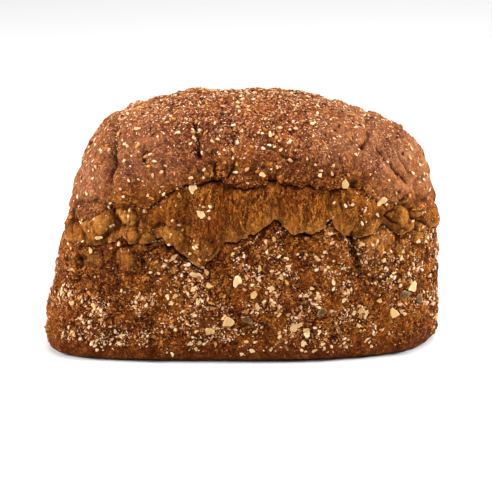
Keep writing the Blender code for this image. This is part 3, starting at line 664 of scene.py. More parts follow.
def folds(points):
    """Furrows, and lumps with a crack round them, both bent off their straight forms, with
    thin cracks and pits. Gives how far they stand out, the painted shade in their cracks and
    pits, and how far up a lump each point lies."""
    size, amount = BENDING
    x = points[..., 0] + amount * noise(points, size, BEND_SEEDS[0])
    z = points[..., 2] + amount * noise(points, size, BEND_SEEDS[1])
    front = smooth_step(-points[..., 1], 0.0, FACE_BLEND)
    back = smooth_step(points[..., 1], 0.0, FACE_BLEND)
    out = np.zeros_like(x)
    for side, furrows in ((front, FURROWS), (back, back_furrows())):
        for *ends, depth in furrows:
            out -= side * depth * np.exp(-((to_segment(x, z, ends) / FURROW_WIDTH) ** 2))
    dark = np.zeros_like(x)
    domed = np.zeros_like(x)
    distance, width, depth = LUMP_CRACK
    for side, lumps in ((front, TORN_LUMPS + SMALL_TORN_LUMPS), (back, back_lumps())):
        for middle, height, half_width, half_height, swell in lumps:
            away = np.hypot((x - middle) / half_width, (z - height) / half_height)
            dome = np.clip(1.0 - away**2, 0.0, None)
            crack = np.exp(-(((away - distance) / width) ** 2))
            out += side * swell * (dome - depth * crack)
            # painted shade in the crack round each lump
            dark = np.maximum(dark, LUMP_CRACK_SHADE * side * crack)
            domed = np.maximum(domed, side * dome)
    size, amount = CRACK_WANDER
    wander_x = points[..., 0] + amount * noise(points, size, CRACK_WANDER_SEEDS[0])
    wander_z = points[..., 2] + amount * noise(points, size, CRACK_WANDER_SEEDS[1])
    for *ends, depth in THIN_CRACKS:
        near = np.exp(-((to_segment(wander_x, wander_z, ends) / THIN_CRACK_WIDTH) ** 2))
        out -= front * depth * near
        dark = np.maximum(dark, front * near * min(1.0, depth / FULLY_SHADED_DEPTH))
    for middle, height, radius, depth in PITS:
        near = np.exp(-(((wander_x - middle) ** 2 + (wander_z - height) ** 2) / radius**2))
        out -= front * depth * near
        dark = np.maximum(dark, PIT_SHADE * front * near)
    return out, dark, domed


def small_relief(points, run, torn, crown):
    """Small unevenness: folded noise all over, and noise drawn out up the band as fibres.
    Gives how far it stands out, and how high that is for its kind, from -1 to 1, by which the
    crust's colour gets a painted highlight on raised places and painted shade in low ones."""
    size, amount = BENT
    bent = points + amount * np.stack(
        [noise(points, size, BENT_SEED + axis) for axis in range(3)], axis=-1)
    out = np.zeros(points.shape[:-1])
    for number, (size, height) in enumerate(SMALL_LUMPS):
        out += height * (np.abs(noise(bent, size, SMALL_LUMP_SEED + 2 * number)) - MEAN_FOLD)
    width, length, height = FIBRES
    drawn_out = np.stack([run / width, points[..., 2] / length, points[..., 1] / length], axis=-1)
    out *= 1.0 - TORN_SMALL_LOSS * torn - (1.0 - CROWN_SMALL_SHARE) * crown
    out += torn * height * noise(drawn_out, 1.0, FIBRE_SEED)
    return out, np.clip(out / RAISED_HEIGHT, -1.0, 1.0)


def shoulder_dust_and_sheen(points):
    """Paler parts of the crown, painted sheen and rim light over some pale flour dust: soft ovals
    by their middle, half sizes and share, with an uneven edge."""
    x = points[..., 0]
    dust_and_sheen = np.zeros_like(x)
    for middle, height, half_width, half_height, share in DUST_AND_SHEEN:
        away = np.hypot((x - middle) / half_width, (points[..., 2] - height) / half_height)
        dust_and_sheen = np.maximum(dust_and_sheen, share * np.exp(-(away**2)))
    size, amount = DUST_AND_SHEEN_UNEVEN
    return dust_and_sheen * np.clip(1.0 + amount * noise(points, size, DUST_AND_SHEEN_SEED), 0.0, DUST_AND_SHEEN_MOST)


def relief(points, run, girth):
    """How far the crust stands out of the smooth loaf and sags, and its masks from 0 to 1:
    torn inside the band, crown above it, and painted shade in cracks and beside the tears."""
    height = points[..., 2]
    upper = upper_tear(run, girth)
    lower, lobe = lower_tear(run, girth)
    strength = tear_strength(run, girth)
    openings = [groove_width(run, girth, seed) for seed in GROOVE_SEEDS]
    upper_out, upper_sag = tear_section(height - upper, openings[0])
    lower_out, lower_sag = tear_section(height - lower, openings[1])
    in_band = smooth_step(height - lower, *BAND_EDGE) * (height < upper)
    share = np.clip((height - lower) / (upper - lower), 0.0, 1.0)
    pillow = np.sin(math.pi * share) ** LOBE_PILLOW
    swell = LOBE_SWELL * (lobe * pillow - LOBE_MEAN) * in_band
    fade = np.interp(run, UPPER_FADE_RUNS, UPPER_FADE_SHARES)
    out = strength * (UPPER_STEP * fade * upper_out + lower_out + swell)
    folded, dark, domed = folds(points)
    out += folded
    calm = 1.0 - CROWN_CALM * smooth_step(height, CROWN_START, HEIGHT)
    out += calm * BROAD_SWELL[1] * noise(points, BROAD_SWELL[0], SWELL_SEED)
    out += CRUST_LUMPS[1] * (np.abs(noise(points, CRUST_LUMPS[0], LUMP_SEED)) - MEAN_FOLD)
    small, raised = small_relief(points, run, in_band, 1.0 * (height > upper))
    out += small
    clear_of_foot = smooth_step(height, 0.0, FOOT_RADIUS)
    size, mean, amount = DARK_UNEVEN
    uneven = mean + amount * noise(points, size, DARK_SEED)
    # Painted shade in the tears' grooves
    for line, opening, share in zip((upper, lower), openings, (fade, 1.0)):
        near = np.exp(-(((height - line) / opening) ** 2))
        dark = np.maximum(dark, strength * share * uneven * near)
    # Painted shadow below the lobes, over crust that is darker there too, and painted shade under the
    # crown's lip
    reach, share = BELOW_LOBES
    shade = share * uneven * np.exp(-np.clip(lower - height, 0.0, None) / reach) * (height < lower)
    reach, share = ABOVE_LIP
    middle = np.interp(run, LIP_SHADE_RUNS, LIP_SHADE_SHARES)
    away = np.clip(height - upper, 0.0, None) / (reach * LIP_SHADE_REACH * middle)
    shade += LIP_SHADE_GAIN * middle * share * uneven * np.exp(-away) * (height > upper)
    dark = np.maximum(dark, SHADE_SHARE * strength * shade)
    torn = in_band * smooth_step(upper - height, 0.0, TORN_EDGE)
    front = points[..., 1] < 0.0
    seeded = np.interp(points[..., 0], PALE_X, PALE_SHARE)
    masks = {
        "torn": torn,
        "pale": torn * np.where(front, seeded, PALE_BEHIND),
        "crown": 1.0 * (height > upper),
        "crown_brown": smooth_step(height - upper, *CROWN_BROWNS),
        "golden": np.maximum(torn * np.exp(-np.clip(height - lower, 0.0, None) / GOLDEN_EDGE),
                             np.sqrt(domed) * (height < upper)
                             * smooth_step(height, *GOLDEN_HEIGHTS)),
        # painted sheen and rim light on the shoulders, over some pale flour dust
        "dust_and_sheen": shoulder_dust_and_sheen(points) * (height > upper),
        # painted shade along the foot, darker towards the floor
        "foot": smooth_step(height, *FOOT_SHADE),
        # painted shade in cracks, pits and grooves, below the lobes and at the crown's lip
        "dark": np.clip(dark, 0.0, 1.0) * clear_of_foot,
        # painted highlight on raised places and painted shade in low ones
        "raised": raised,
    }
    return out * clear_of_foot, strength * (upper_sag + lower_sag), masks


def between(start, end, count):
    """Evenly spaced climbs from the start up to, but not with, the end."""
    return [start + (end - start) * step / count for step in range(count)]


def ring_climbs(run, girth):
    """The climb of every ring above the foot: close together at the tears, even elsewhere."""
    lower, _ = lower_tear(run, girth)
    upper = upper_tear(run, girth)
    at_lower = [climb_of(lower + offset) for offset in RINGS_AT_TEAR]
    at_upper = [climb_of(upper + offset) for offset in RINGS_AT_TEAR]
    foot = climb_of(np.full_like(run, FOOT_RADIUS))
    top = np.full_like(run, math.pi / 2)
    climbs = between(foot, at_lower[0], WALL_RINGS)
    climbs += at_lower[:-1] + between(at_lower[-1], at_upper[0], BAND_RINGS)
    climbs += at_upper[:-1] + between(at_upper[-1], top, CROWN_RINGS) + [top]
    return climbs


def grid_normals(rings):
    """Normals of a grid of rings: the cross product of the steps round and up it."""
    round_loaf = np.roll(rings, -1, axis=1) - np.roll(rings, 1, axis=1)
    outward = np.cross(round_loaf, np.gradient(rings, axis=0))
    outward[-1] = (0.0, 0.0, 1.0)
    return outward / np.linalg.norm(outward, axis=-1, keepdims=True)


def crust_grid():
    """Rings of points from the edge of the flat base up to the crown's ridge, their runs and
    their masks. In the last ring, along the ridge, each column meets the one facing it."""
    angle, run, girth = even_columns(COLUMNS)
    rings = []
    for step in range(FOOT_RINGS):
        turn = 0.5 * math.pi * step / FOOT_RINGS
        height = np.full_like(angle, FOOT_RADIUS * (1.0 - math.cos(turn)))
        rings.append(smooth_loaf(angle, climb_of(height), FOOT_RADIUS * (1.0 - math.sin(turn))))
    rings += [smooth_loaf(angle, climb) for climb in ring_climbs(run, girth)]
    rings = np.array(rings)
    runs = np.broadcast_to(run, rings.shape[:2])
    outward = grid_normals(rings)
    out, sag, masks = relief(rings, runs, girth)
    rings = rings + outward * out[..., None]
    rings[..., 2] -= sag
    facing = (COLUMNS // 2 - np.arange(COLUMNS)) % COLUMNS
    rings[-1] = 0.5 * (rings[-1] + rings[-1][facing])
    return rings, runs, masks


def make_piece(name, points, faces, values=None):
    """A smooth shaded mesh object of triangles that rides on the loaf's body, with a number
    for each point in every named attribute."""
    mesh = bpy.data.meshes.new(name)
    mesh.vertices.add(len(points))
    mesh.vertices.foreach_set("co", np.ascontiguousarray(points, dtype=np.float32).ravel())
    mesh.loops.add(3 * len(faces))
    mesh.loops.foreach_set("vertex_index", np.ascontiguousarray(faces, dtype=np.int32).ravel())
    mesh.polygons.add(len(faces))
    mesh.polygons.foreach_set("loop_start", np.arange(0, 3 * len(faces), 3, dtype=np.int32))
    mesh.update(calc_edges=True)
    mesh.shade_smooth()
    for title, numbers in (values or {}).items():
        attribute = mesh.attributes.new(title, "FLOAT", "POINT")
        attribute.data.foreach_set("value", np.ascontiguousarray(numbers, dtype=np.float32))
    piece = bpy.data.objects.new(name, mesh)
    bpy.context.scene.collection.objects.link(piece)
    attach(piece, "root")
    return piece


def make_crust(rings, masks):
    """Skins the rings with two triangles to each cell, closes the flat base with strips
    between facing columns and joins the last ring's facing columns along the ridge."""
    count = len(rings)
    column = np.arange(COLUMNS)
    facing = (COLUMNS // 2 - column) % COLUMNS
    index = np.arange(count * COLUMNS).reshape(count, COLUMNS)
    index[-1] = index[-1][np.minimum(column, facing)]
    beside = np.roll(index, -1, axis=1)
    corners = (index[:-1], beside[:-1], beside[1:], index[1:])
    skin = np.concatenate([np.stack([corners[a], corners[b], corners[c]], axis=-1).reshape(-1, 3)
                           for a, b, c in ((0, 1, 2), (0, 2, 3))])
    half = np.arange(COLUMNS // 4, 3 * COLUMNS // 4)
    strip = np.concatenate([
        np.stack([half, facing[half], facing[half + 1]], axis=-1),
        np.stack([half, facing[half + 1], half + 1], axis=-1),
    ])
    faces = np.concatenate([skin, strip])
    whole = (faces[:, 0] != faces[:, 1]) & (faces[:, 1] != faces[:, 2]) & (faces[:, 2] != faces[:, 0])
    used, faces = np.unique(faces[whole], return_inverse=True)
    values = {title: masks[title].reshape(-1)[used] for title in SHOWN_MASKS}
    return make_piece("crust", rings.reshape(-1, 3)[used], faces.reshape(-1, 3), values)


def closed_form(grid):
    """Points and triangles of a closed form: a grid of loops, first and last drawn to a pole."""
    loops, sides = grid.shape[:2]
    poles = np.stack([grid[0].mean(axis=0), grid[-1].mean(axis=0)])
    points = np.concatenate([grid.reshape(-1, 3), poles])
    index = np.arange(loops * sides).reshape(loops, sides)
    beside = np.roll(index, -1, axis=1)
    low = np.stack([index[:-1], beside[:-1], beside[1:]], axis=-1).reshape(-1, 3)
    high = np.stack([index[:-1], beside[1:], index[1:]], axis=-1).reshape(-1, 3)
    first = np.stack([beside[0], index[0], np.full(sides, loops * sides)], axis=-1)
    last = np.stack([index[-1], beside[-1], np.full(sides, loops * sides + 1)], axis=-1)
    return points, np.concatenate([low, high, first, last])


def seed_form(loops, sides, taper, point):
    """A seed of unit length along X: loops of width sin(u)^point round the axis, with the
    width drawn in towards +X by the taper."""
    u = (np.arange(loops) + 0.7) * math.pi / (loops + 0.4)
    v = np.arange(sides) * 2.0 * math.pi / sides
    width = np.sin(u) ** point * (1.0 + taper * np.cos(u))
    x = -0.5 * np.cos(u)
    grid = np.stack(np.broadcast_arrays(
        x[:, None], 0.5 * width[:, None] * np.cos(v), 0.5 * width[:, None] * np.sin(v)), axis=-1)
    return closed_form(grid)


def flake_form(sides, rings, draw, uneven, cup):
    """A flat flake of unit width: rings of an uneven outline from the top over the rim and
    under it, bent upward as the square of the distance by the cup."""
    v = np.arange(sides) * 2.0 * math.pi / sides
    outline = 1.0 + uneven * draw.uniform(-1.0, 1.0, sides)
    for waves in (2, 3):
        outline += 0.7 * uneven * np.cos(waves * v + draw.uniform(0.0, 2.0 * math.pi))
    radius, level = np.array(rings).T
    r = radius[:, None] * outline
    x, y = r * np.cos(v), r * np.sin(v)
    z = level[:, None] + cup * (4.0 * r**2 - 0.5) + 0.5 * draw.uniform(-0.3, 0.3, r.shape)
    points, faces = closed_form(np.stack([x, y, z], axis=-1))
    return points, faces[:, ::-1]


def lay(name, forms, places, sizes, draw):
    """One piece of many grains: copies of the forms, stretched to their sizes, turned by a
    draw about the crust's normal, tilted a little and sunk by a share of their thickness."""
    where, outward = places
    *_, sink, tilt = GRAINS[name]
    count = len(where)
    tilted = outward + tilt * draw.normal(size=(count, 3))
    up = tilted / np.linalg.norm(tilted, axis=1, keepdims=True)
    along = np.cross(up, draw.normal(size=(count, 3)))
    along /= np.linalg.norm(along, axis=1, keepdims=True)
    turned = np.stack([along, np.cross(up, along), up], axis=1)
    base = where + outward * (sizes[:, 2:] * (0.5 - sink))
    tint = draw.uniform(0.0, 1.0, count)
    pick = draw.integers(0, len(forms), count)
    points, faces, tints, rims, start = [], [], [], [], 0
    for number, (shape, skin) in enumerate(forms):
        mine = pick == number
        grown = shape[None] * sizes[mine][:, None, :]
        placed = np.einsum("nij,njk->nik", grown, turned[mine]) + base[mine][:, None, :]
        points.append(placed.reshape(-1, 3))
        offset = start + len(shape) * np.arange(mine.sum())
        faces.append((skin[None] + offset[:, None, None]).reshape(-1, 3))
        tints.append(np.repeat(tint[mine], len(shape)))
        rim = np.clip(1.0 - shape[:, 2] / shape[:, 2].max(), 0.0, 1.0)
        rims.append(np.tile(rim, mine.sum()))
        start += len(points[-1])
    values = {"tint": np.concatenate(tints), "rim": np.concatenate(rims)}
    return make_piece(name, np.concatenate(points), np.concatenate(faces), values)


class Ground:
    """The crust's cells as ground for grains: middles, areas, normals, runs and masks."""

    def __init__(self, rings, runs, masks):
        near = (rings[:-1] + rings[1:]) / 2
        self.middle = (near + np.roll(near, -1, axis=1)) / 2
        self.across = np.roll(near, -1, axis=1) - near
        self.up = rings[1:] - rings[:-1]
        self.area = np.linalg.norm(np.cross(self.across, self.up), axis=-1)
        soft = rings.copy()
        for _ in range(GROUND_SOFTENINGS):
            soft = (soft + np.roll(soft, 1, axis=1) + np.roll(soft, -1, axis=1)) / 3
            soft[1:-1] = (soft[:-2] + soft[1:-1] + soft[2:]) / 3
        self.outward = grid_normals(soft)[:-1]
        self.run = runs[:-1]
        self.mask = {title: mask[:-1] for title, mask in masks.items()}

    def draw_places(self, density, count, spacing, draw):
        """Places by a draw weighted with area and density, of which each keeps its spacing
        from all that were drawn before it."""
        chance = (self.area * density).ravel()
        cells = draw.choice(chance.size, size=int(SPARE_DRAWS * count), p=chance / chance.sum())
        share = draw.uniform(-0.5, 0.5, (len(cells), 2))
        where = self.middle.reshape(-1, 3)[cells]
        where = where + share[:, :1] * self.across.reshape(-1, 3)[cells]
        where = where + share[:, 1:] * self.up.reshape(-1, 3)[cells]
        keep = np.ones(len(cells), dtype=bool)
        for start in range(0, len(cells), DRAWS_AT_ONCE):
            block = where[start:start + DRAWS_AT_ONCE]
            gap = np.linalg.norm(block[:, None] - where[None], axis=-1)
            earlier = np.arange(len(cells))[None] < (start + np.arange(len(block)))[:, None]
            keep[start:start + DRAWS_AT_ONCE] = ~np.any((gap < spacing) & earlier, axis=1)
        chosen = np.nonzero(keep)[0][:count]
        return where[chosen], self.outward.reshape(-1, 3)[cells[chosen]]

    def spots(self, marks):
        """The crust nearest to each x and height on the front."""
        front = self.middle[..., 1] < 0.0
        flat = self.middle.reshape(-1, 3)
        cells = []
        for x, height, *_ in marks:
            away = np.hypot(flat[:, 0] - x, flat[:, 2] - height) + 1.0 * ~front.ravel()
            cells.append(int(np.argmin(away)))
        return flat[cells], self.outward.reshape(-1, 3)[cells]


def zones(ground):
    """How thickly grains lie on each cell: on the side, the crown, its top and the torn band."""
    x, height = ground.middle[..., 0], ground.middle[..., 2]
    front = ground.middle[..., 1] < 0.0
    torn, crown = ground.mask["torn"], ground.mask["crown"]
    clear = 1.0 - smooth_step(ground.mask["dark"], *CLEAR_OF_DARK)
    side = (1.0 - torn) * (1.0 - crown) * smooth_step(height, *SIDE_START)
    side = side * (1.0 - SIDE_LOSS * smooth_step(height, *SIDE_THINS))
    for (places, heights, loss), beside in ((BALD_LEFT, -x), (BALD_FOOT, x)):
        bald = front * smooth_step(beside, *places) * smooth_step(height, *heights)
        side = side * (1.0 - loss * bald)
    start, end = CLEAN_BAND
    clean = front * smooth_step(x, *start) * (1.0 - smooth_step(x, *end))
    band = torn * (1.0 - clean)
    size, mean, amount, least = CLUMPS
    clumps = np.clip(mean + amount * noise(ground.middle, size, CLUMP_SEED), least, None)
    top = crown * smooth_step(height, *CROWN_TOP)
    return side * clear * clumps, crown * clear, top, band * clear * clumps


def grain_sizes(name, count, draw):
    """Length, width and thickness of every grain of a kind by a draw, but for the flakes at
    marks, whose lengths are given."""
    _, size, variety, *_ = GRAINS[name]
    scale = draw.uniform(1.0 - variety, 1.0 + variety, (count, 1))
    sizes = np.array(size) * scale * draw.uniform(*SHAPE_VARIETY, (count, 3))
    if name == "oat_flakes":
        width, thickness = FLAKE_SHAPE
        for number, (_, _, length) in enumerate(FRONT_FLAKES):
            sizes[number] = (length, width * length, thickness)
    return sizes


def grain_forms(name, draw):
    """The forms that the copies of a kind are picked from."""
    if name in FLAKE_FORMS:
        count, sides, rings, uneven, cup = FLAKE_FORMS[name]
        return [flake_form(sides, rings, draw, uneven, cup) for _ in range(count)]
    return [seed_form(*(KERNEL_FORM if name == "sunflower_kernels" else SEED_FORM))]


def make_grains(ground):
    """Every kind of grain as one piece: at its marks on the front, where it has them, and then
    spread over the zones by a seeded draw."""
    draw = np.random.default_rng(GRAIN_SEED)
    areas = zones(ground)
    pieces = {}
    for name, (count, _, _, spacing, _, _) in GRAINS.items():
        density = sum(share * area for share, area in zip(DENSITIES[name], areas))
        places = ground.draw_places(density, count, spacing, draw)
        if name in FRONT_MARKS:
            marked = ground.spots(FRONT_MARKS[name])
            places = tuple(np.concatenate(pair) for pair in zip(marked, places))
        sizes = grain_sizes(name, len(places[0]), draw)
        pieces[name] = lay(name, grain_forms(name, draw), places, sizes, draw)
    return pieces


def fill(tree, made, inputs):
    """The node, with its inputs linked or set, by name or by number."""
    for title, value in inputs.items():
        if isinstance(value, bpy.types.NodeSocket):
            tree.links.new(value, made.inputs[title])
        else:
            made.inputs[title].default_value = value
    return made


def add_node(tree, kind, inputs=None, **settings):
    """A new node with its settings and inputs."""
    made = tree.nodes.new(kind)
    for title, value in settings.items():
        setattr(made, title, value)
    return fill(tree, made, inputs or {})


def mix(tree, share, first, second):
    """The mix of two colours by a share."""
    made = add_node(tree, "ShaderNodeMix", {0: share, 6: first, 7: second}, data_type="RGBA")
    return made.outputs[2]


def spread(tree, value, low, high, start=0.0, end=1.0):
    """A value from low to high brought to the range from start to end, and kept in it."""
    made = add_node(tree, "ShaderNodeMapRange", {
        "Value": value, "From Min": low, "From Max": high, "To Min": start, "To Max": end})
    return made.outputs["Result"]


def times(tree, first, second):
    """The product of two values."""
    return add_node(tree, "ShaderNodeMath", {0: first, 1: second}, operation="MULTIPLY").outputs[0]


def noise_texture(tree, place, scale, detail, roughness=0.5, distortion=0.0):
    """The outputs of a noise at the given coordinates."""
    return add_node(tree, "ShaderNodeTexNoise", {
        "Vector": place, "Scale": scale, "Detail": detail, "Roughness": roughness,
        "Distortion": distortion}).outputs


def crumb_cells(tree, place, scale):
    """A colour by chance for each cell of a pattern of crumbs, as red, green and blue."""
    cells = add_node(tree, "ShaderNodeTexVoronoi", {"Vector": place, "Scale": scale})
    return add_node(tree, "ShaderNodeSeparateColor", {0: cells.outputs["Color"]}).outputs


def use_group(tree, group, inputs):
    """The outputs of a group that is used with the material's own values."""
    made = tree.nodes.new("ShaderNodeGroup")
    made.node_tree = group
    return fill(tree, made, inputs).outputs


def roughen(tree, shader, height, strength):
    """A surface height in millimetres brought to the shader as a bump."""
    bump = add_node(tree, "ShaderNodeBump", {
        "Height": height, "Distance": MM, "Strength": strength})
    tree.links.new(bump.outputs[0], shader.inputs["Normal"])


def attribute(tree, name):
    """A named number of the mesh."""
    return add_node(tree, "ShaderNodeAttribute", attribute_name=name).outputs["Fac"]


def new_group(name, inputs, outputs):
    """An empty node group with its named sockets, and its input and output nodes."""
    group = bpy.data.node_groups.new(name, "ShaderNodeTree")
    for title, kind, value in inputs:
        socket = group.interface.new_socket(title, in_out="INPUT", socket_type=kind)
        if value is not None:
            socket.default_value = value
    for title, kind in outputs:
        group.interface.new_socket(title, in_out="OUTPUT", socket_type=kind)
    return group, group.nodes.new("NodeGroupInput"), group.nodes.new("NodeGroupOutput")


def colour(red, green, blue):
    """A colour given as it looks on a screen, from 0 to 255, as the linear values of light."""
    parts = [part / 255.0 for part in (red, green, blue)]
    return (*[p / 12.92 if p <= 0.04045 else ((p + 0.055) / 1.055) ** 2.4 for p in parts], 1.0)


def mottle_group():
    """Uneven browning: soft patches between two browns and light crumbs, and painted shade in pits.
    """
    group, given, result = new_group("browned mottle", [
        ("Vector", "NodeSocketVector", None),
        ("Pits", "NodeSocketFloat", 0.0),
        ("Patch scale", "NodeSocketFloat", 60.0),
        ("Crumb scale", "NodeSocketFloat", 700.0),
        ("Dark", "NodeSocketColor", None),
        ("Middle", "NodeSocketColor", None),
        ("Light", "NodeSocketColor", None),
        ("Light share", "NodeSocketFloat", 0.5),
    ], [("Color", "NodeSocketColor")])
    sockets = given.outputs
    place, dark, light = sockets["Vector"], sockets["Dark"], sockets["Light"]
    patches = noise_texture(group, place, sockets["Patch scale"], 5.0, 0.7)
    wander = noise_texture(group, place, sockets["Crumb scale"], 3.0)
    strayed = add_node(group, "ShaderNodeVectorMath", {
        0: wander["Color"], 1: CRUMB_WANDER, 2: place},
        operation="MULTIPLY_ADD").outputs[0]
    crumbs = crumb_cells(group, strayed, sockets["Crumb scale"])
    base = mix(group, spread(group, patches["Fac"], 0.30, 0.56, 0.3, 1.0), dark, sockets["Middle"])
    calm = noise_texture(group, place, times(group, sockets["Patch scale"], 0.7), 1.0)
    busy = spread(group, calm["Fac"], 0.40, 0.56, 0.15, 1.0)
    lit = times(group, spread(group, crumbs[0], 0.60, 0.85), sockets["Light share"])
    base = mix(group, times(group, lit, busy), base, light)
    shade = times(group, spread(group, crumbs[1], 0.60, 0.85, 0.0, 0.9), busy)
    base = mix(group, shade, base, dark)
    flecks = crumb_cells(group, strayed, times(group, sockets["Crumb scale"], 1.8))
    base = mix(group, spread(group, flecks[0], 0.68, 0.92, 0.0, 0.75), base, light)
    base = mix(group, spread(group, flecks[1], 0.60, 0.85), base, dark)
    # Painted shade in the crumb's low places
    pit_shaded = mix(group, sockets["Pits"], base, dark)
    group.links.new(pit_shaded, result.inputs["Color"])
    return group


def crumb_group():
    """A rough baked surface from two sizes of noise: its height in millimetres, and a mask of
    its pits, where that height is low."""
    group, given, result = new_group("crumb height", [
        ("Vector", "NodeSocketVector", None),
        ("Scale", "NodeSocketFloat", 400.0),
        ("Height", "NodeSocketFloat", 0.3),
    ], [("Height", "NodeSocketFloat"), ("Pits", "NodeSocketFloat")])
    sockets = given.outputs
    broad = noise_texture(group, sockets["Vector"], sockets["Scale"], 4.0, 0.7, 0.3)
    fine = noise_texture(group, sockets["Vector"], times(group, sockets["Scale"], 3.1), 2.0, 0.6)
    total = add_node(group, "ShaderNodeMath", {
        0: broad["Fac"], 1: times(group, fine["Fac"], 0.5)}, operation="ADD").outputs[0]
    group.links.new(times(group, total, sockets["Height"]), result.inputs["Height"])
    group.links.new(spread(group, total, 0.60, 0.74, 1.0, 0.0), result.inputs["Pits"])
    return group


def new_material(name, roughness, specular):
    """A material with its tree, its shader and the object's own coordinates."""
    material = bpy.data.materials.new(name)
    material.use_nodes = True
    tree = material.node_tree
    shader = tree.nodes["Principled BSDF"]
    shader.inputs["Roughness"].default_value = roughness
    shader.inputs["Specular IOR Level"].default_value = specular
    coordinates = add_node(tree, "ShaderNodeTexCoord").outputs["Object"]
    return material, tree, shader, coordinates


def crust_material(mottle, crumb):
    """Baked crust: side, crown and torn band each in their own browns, with painted shade in the
    cracks, low places and along the foot, and painted highlights on raised places and shoulders.
    """
    material, tree, shader, place = new_material("rye_crust", 0.62, 0.04)
    height, pits = use_group(tree, crumb, {"Vector": place, "Scale": 420.0, "Height": 1.1})
    side = use_group(tree, mottle, {
        "Vector": place, "Pits": pits, "Patch scale": 110.0, "Crumb scale": 640.0,
        "Light share": 0.8, "Dark": colour(34, 8, 0), "Middle": colour(120, 54, 9),
        "Light": colour(206, 132, 58)})
    crown = use_group(tree, mottle, {
        "Vector": place, "Pits": pits, "Patch scale": 60.0, "Crumb scale": 700.0,
        "Light share": 0.55, "Dark": colour(58, 22, 8), "Middle": colour(132, 65, 26),
        "Light": colour(216, 148, 102)})
    drawn_out = add_node(tree, "ShaderNodeMapping", {
        "Vector": place, "Scale": (1.0, 1.0, 0.5)}).outputs[0]
    torn = use_group(tree, mottle, {
        "Vector": drawn_out, "Pits": times(tree, pits, 0.7), "Patch scale": 80.0,
        "Crumb scale": 760.0, "Light share": 0.75, "Dark": colour(54, 18, 0),
        "Middle": colour(130, 62, 10), "Light": colour(202, 128, 48)})
    grain = noise_texture(tree, place, 620.0, 5.0, 0.85)["Fac"]
    # Colours of the painted sheen and flour dust on the crown's shoulders
    dust_and_sheen_colour = mix(tree, spread(tree, grain, 0.36, 0.62), colour(148, 80, 44), colour(216, 156, 112))
    gold = mix(tree, spread(tree, grain, 0.38, 0.60), colour(150, 82, 22), colour(222, 156, 74))
    patches = noise_texture(tree, place, 34.0, 2.0)["Fac"]
    streaks = noise_texture(tree, drawn_out, 210.0, 5.0, 0.75)["Fac"]
    gilt = spread(tree, streaks, 0.38, 0.58, 0.0, 0.75)
    raised = attribute(tree, "raised")
    base = side[0]
    for share, over in (
            (attribute(tree, "crown_brown"), crown[0]),
            # painted sheen and rim light on the crown's shoulders, over some pale flour dust
            (times(tree, attribute(tree, "dust_and_sheen"), 0.55), dust_and_sheen_colour),
            (attribute(tree, "pale"), torn[0]),
            (spread(tree, patches, 0.50, 0.70, 0.0, 0.25), colour(160, 84, 14)),
            (spread(tree, patches, 0.50, 0.30, 0.0, 0.30), colour(92, 30, 6)),
            (times(tree, attribute(tree, "golden"), gilt), gold),
            # painted highlight on raised places and painted shade in low ones
            (spread(tree, raised, 0.1, 1.0, 0.0, 0.16), colour(196, 116, 44)),
            (spread(tree, raised, 0.0, -0.8, 0.0, 0.5), colour(44, 12, 0)),
            # painted shade along the foot, darker towards the floor
            (times(tree, attribute(tree, "foot"), 0.55), colour(84, 32, 6)),
            # painted shade in cracks, grooves and pits, below the lobes and at the crown's lip
            (spread(tree, attribute(tree, "dark"), 0.15, 0.9, 0.0, 0.9), colour(34, 8, 0))):
        base = mix(tree, share, base, over)
    tree.links.new(base, shader.inputs["Base Color"])
    roughen(tree, shader, height, 1.0)
    rough = noise_texture(tree, place, 240.0, 3.0)["Fac"]
    tree.links.new(spread(tree, rough, 0.3, 0.7, 0.5, 0.78), shader.inputs["Roughness"])
    return material


def grain_material(name, crumb, pale, deep, rim, rim_share, roughness, specular, height):
    """A grain: each one has its own tint between a pale and a deep colour, a rim of another
    colour, and fine specks."""
    material, tree, shader, place = new_material(name, roughness, specular)
    base = mix(tree, attribute(tree, "tint"), colour(*pale), colour(*deep))
    edge = spread(tree, attribute(tree, "rim"), 0.12, 0.55, 0.0, rim_share)
    base = mix(tree, edge, base, colour(*rim))
    specks = noise_texture(tree, place, 900.0, 2.0)["Fac"]
    base = mix(tree, spread(tree, specks, 0.42, 0.66, 0.0, 0.6), base, colour(*deep))
    tree.links.new(base, shader.inputs["Base Color"])
    surface = use_group(tree, crumb, {"Vector": place, "Scale": 700.0, "Height": height})
    roughen(tree, shader, surface[0], 0.8)
    return material


def dress(pieces):
    """Every piece gets its material, which is named after its slot of the record."""
    crumb = crumb_group()
    looks = {"crust": ("rye_crust", crust_material(mottle_group(), crumb))}
    for name, (slot, *look) in GRAIN_LOOKS.items():
        looks[name] = (slot, grain_material(slot, crumb, *look))
    for name, piece in pieces.items():
        slot, material = looks[name]
        piece.data.materials.append(material)


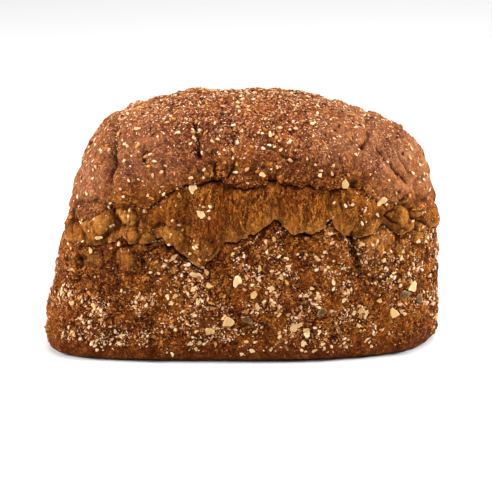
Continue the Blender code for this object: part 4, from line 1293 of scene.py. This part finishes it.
def make_floor():
    """A plain pale floor under the loaf."""
    material, _, shader, _ = new_material("pale_floor", 0.9, 0.2)
    shader.inputs["Base Color"].default_value = (*[FLOOR_GREY] * 3, 1.0)
    mesh = bpy.data.meshes.new("floor")
    reach, low = FLOOR_REACH, FLOOR_LEVEL
    mesh.from_pydata([(-reach, -reach, low), (reach, -reach, low), (reach, reach, low),
                      (-reach, reach, low)], [], [(0, 1, 2, 3)])
    mesh.materials.append(material)
    floor = bpy.data.objects.new("floor", mesh)
    bpy.context.scene.collection.objects.link(floor)


def area_light(name, place, target, width, power):
    """A soft square light at a place, turned to a target."""
    light = bpy.data.lights.new(name, "AREA")
    light.size = width
    light.energy = power
    holder = bpy.data.objects.new(name, light)
    holder.location = place
    x, y, z = np.array(place) - np.array(target)
    turn = math.atan2(y, x) + math.pi / 2
    holder.rotation_euler = (math.atan2(math.hypot(x, y), z), 0.0, turn)
    bpy.context.scene.collection.objects.link(holder)


def make_light():
    """Soft studio light: pale surroundings, a broad light above and one at each side, shown
    with the plain transform, which keeps a baked crust's colours."""
    bpy.context.scene.view_settings.view_transform = "Standard"
    world = bpy.data.worlds.new("studio")
    bpy.context.scene.world = world
    world.use_nodes = True
    background = world.node_tree.nodes["Background"]
    background.inputs["Color"].default_value = (1.0, 1.0, 1.0, 1.0)
    background.inputs["Strength"].default_value = SURROUNDINGS
    for name, (place, width, power) in LIGHTS.items():
        area_light(name, place, LIT_PLACE, width, power)


def make_camera():
    """The photograph's view: straight at the long side, tilted down, through a long lens."""
    camera = bpy.data.objects.new("camera", bpy.data.cameras.new("camera"))
    back, up = CAMERA_DISTANCE * math.cos(CAMERA_TILT), CAMERA_DISTANCE * math.sin(CAMERA_TILT)
    camera.location = (0.0, -back, CAMERA_TARGET + up)
    camera.rotation_euler = (math.pi / 2 - CAMERA_TILT, 0.0, 0.0)
    camera.data.lens = CAMERA_LENS
    camera.data.shift_x, camera.data.shift_y = CAMERA_SHIFT
    bpy.context.scene.collection.objects.link(camera)
    bpy.context.scene.camera = camera


def main():
    """The crust with its grains on it, dressed, lit and seen as in the photograph."""
    rings, runs, masks = crust_grid()
    pieces = {"crust": make_crust(rings, masks)}
    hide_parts("loaf")
    pieces.update(make_grains(Ground(rings, runs, masks)))
    dress(pieces)
    make_floor()
    make_light()
    make_camera()


main()
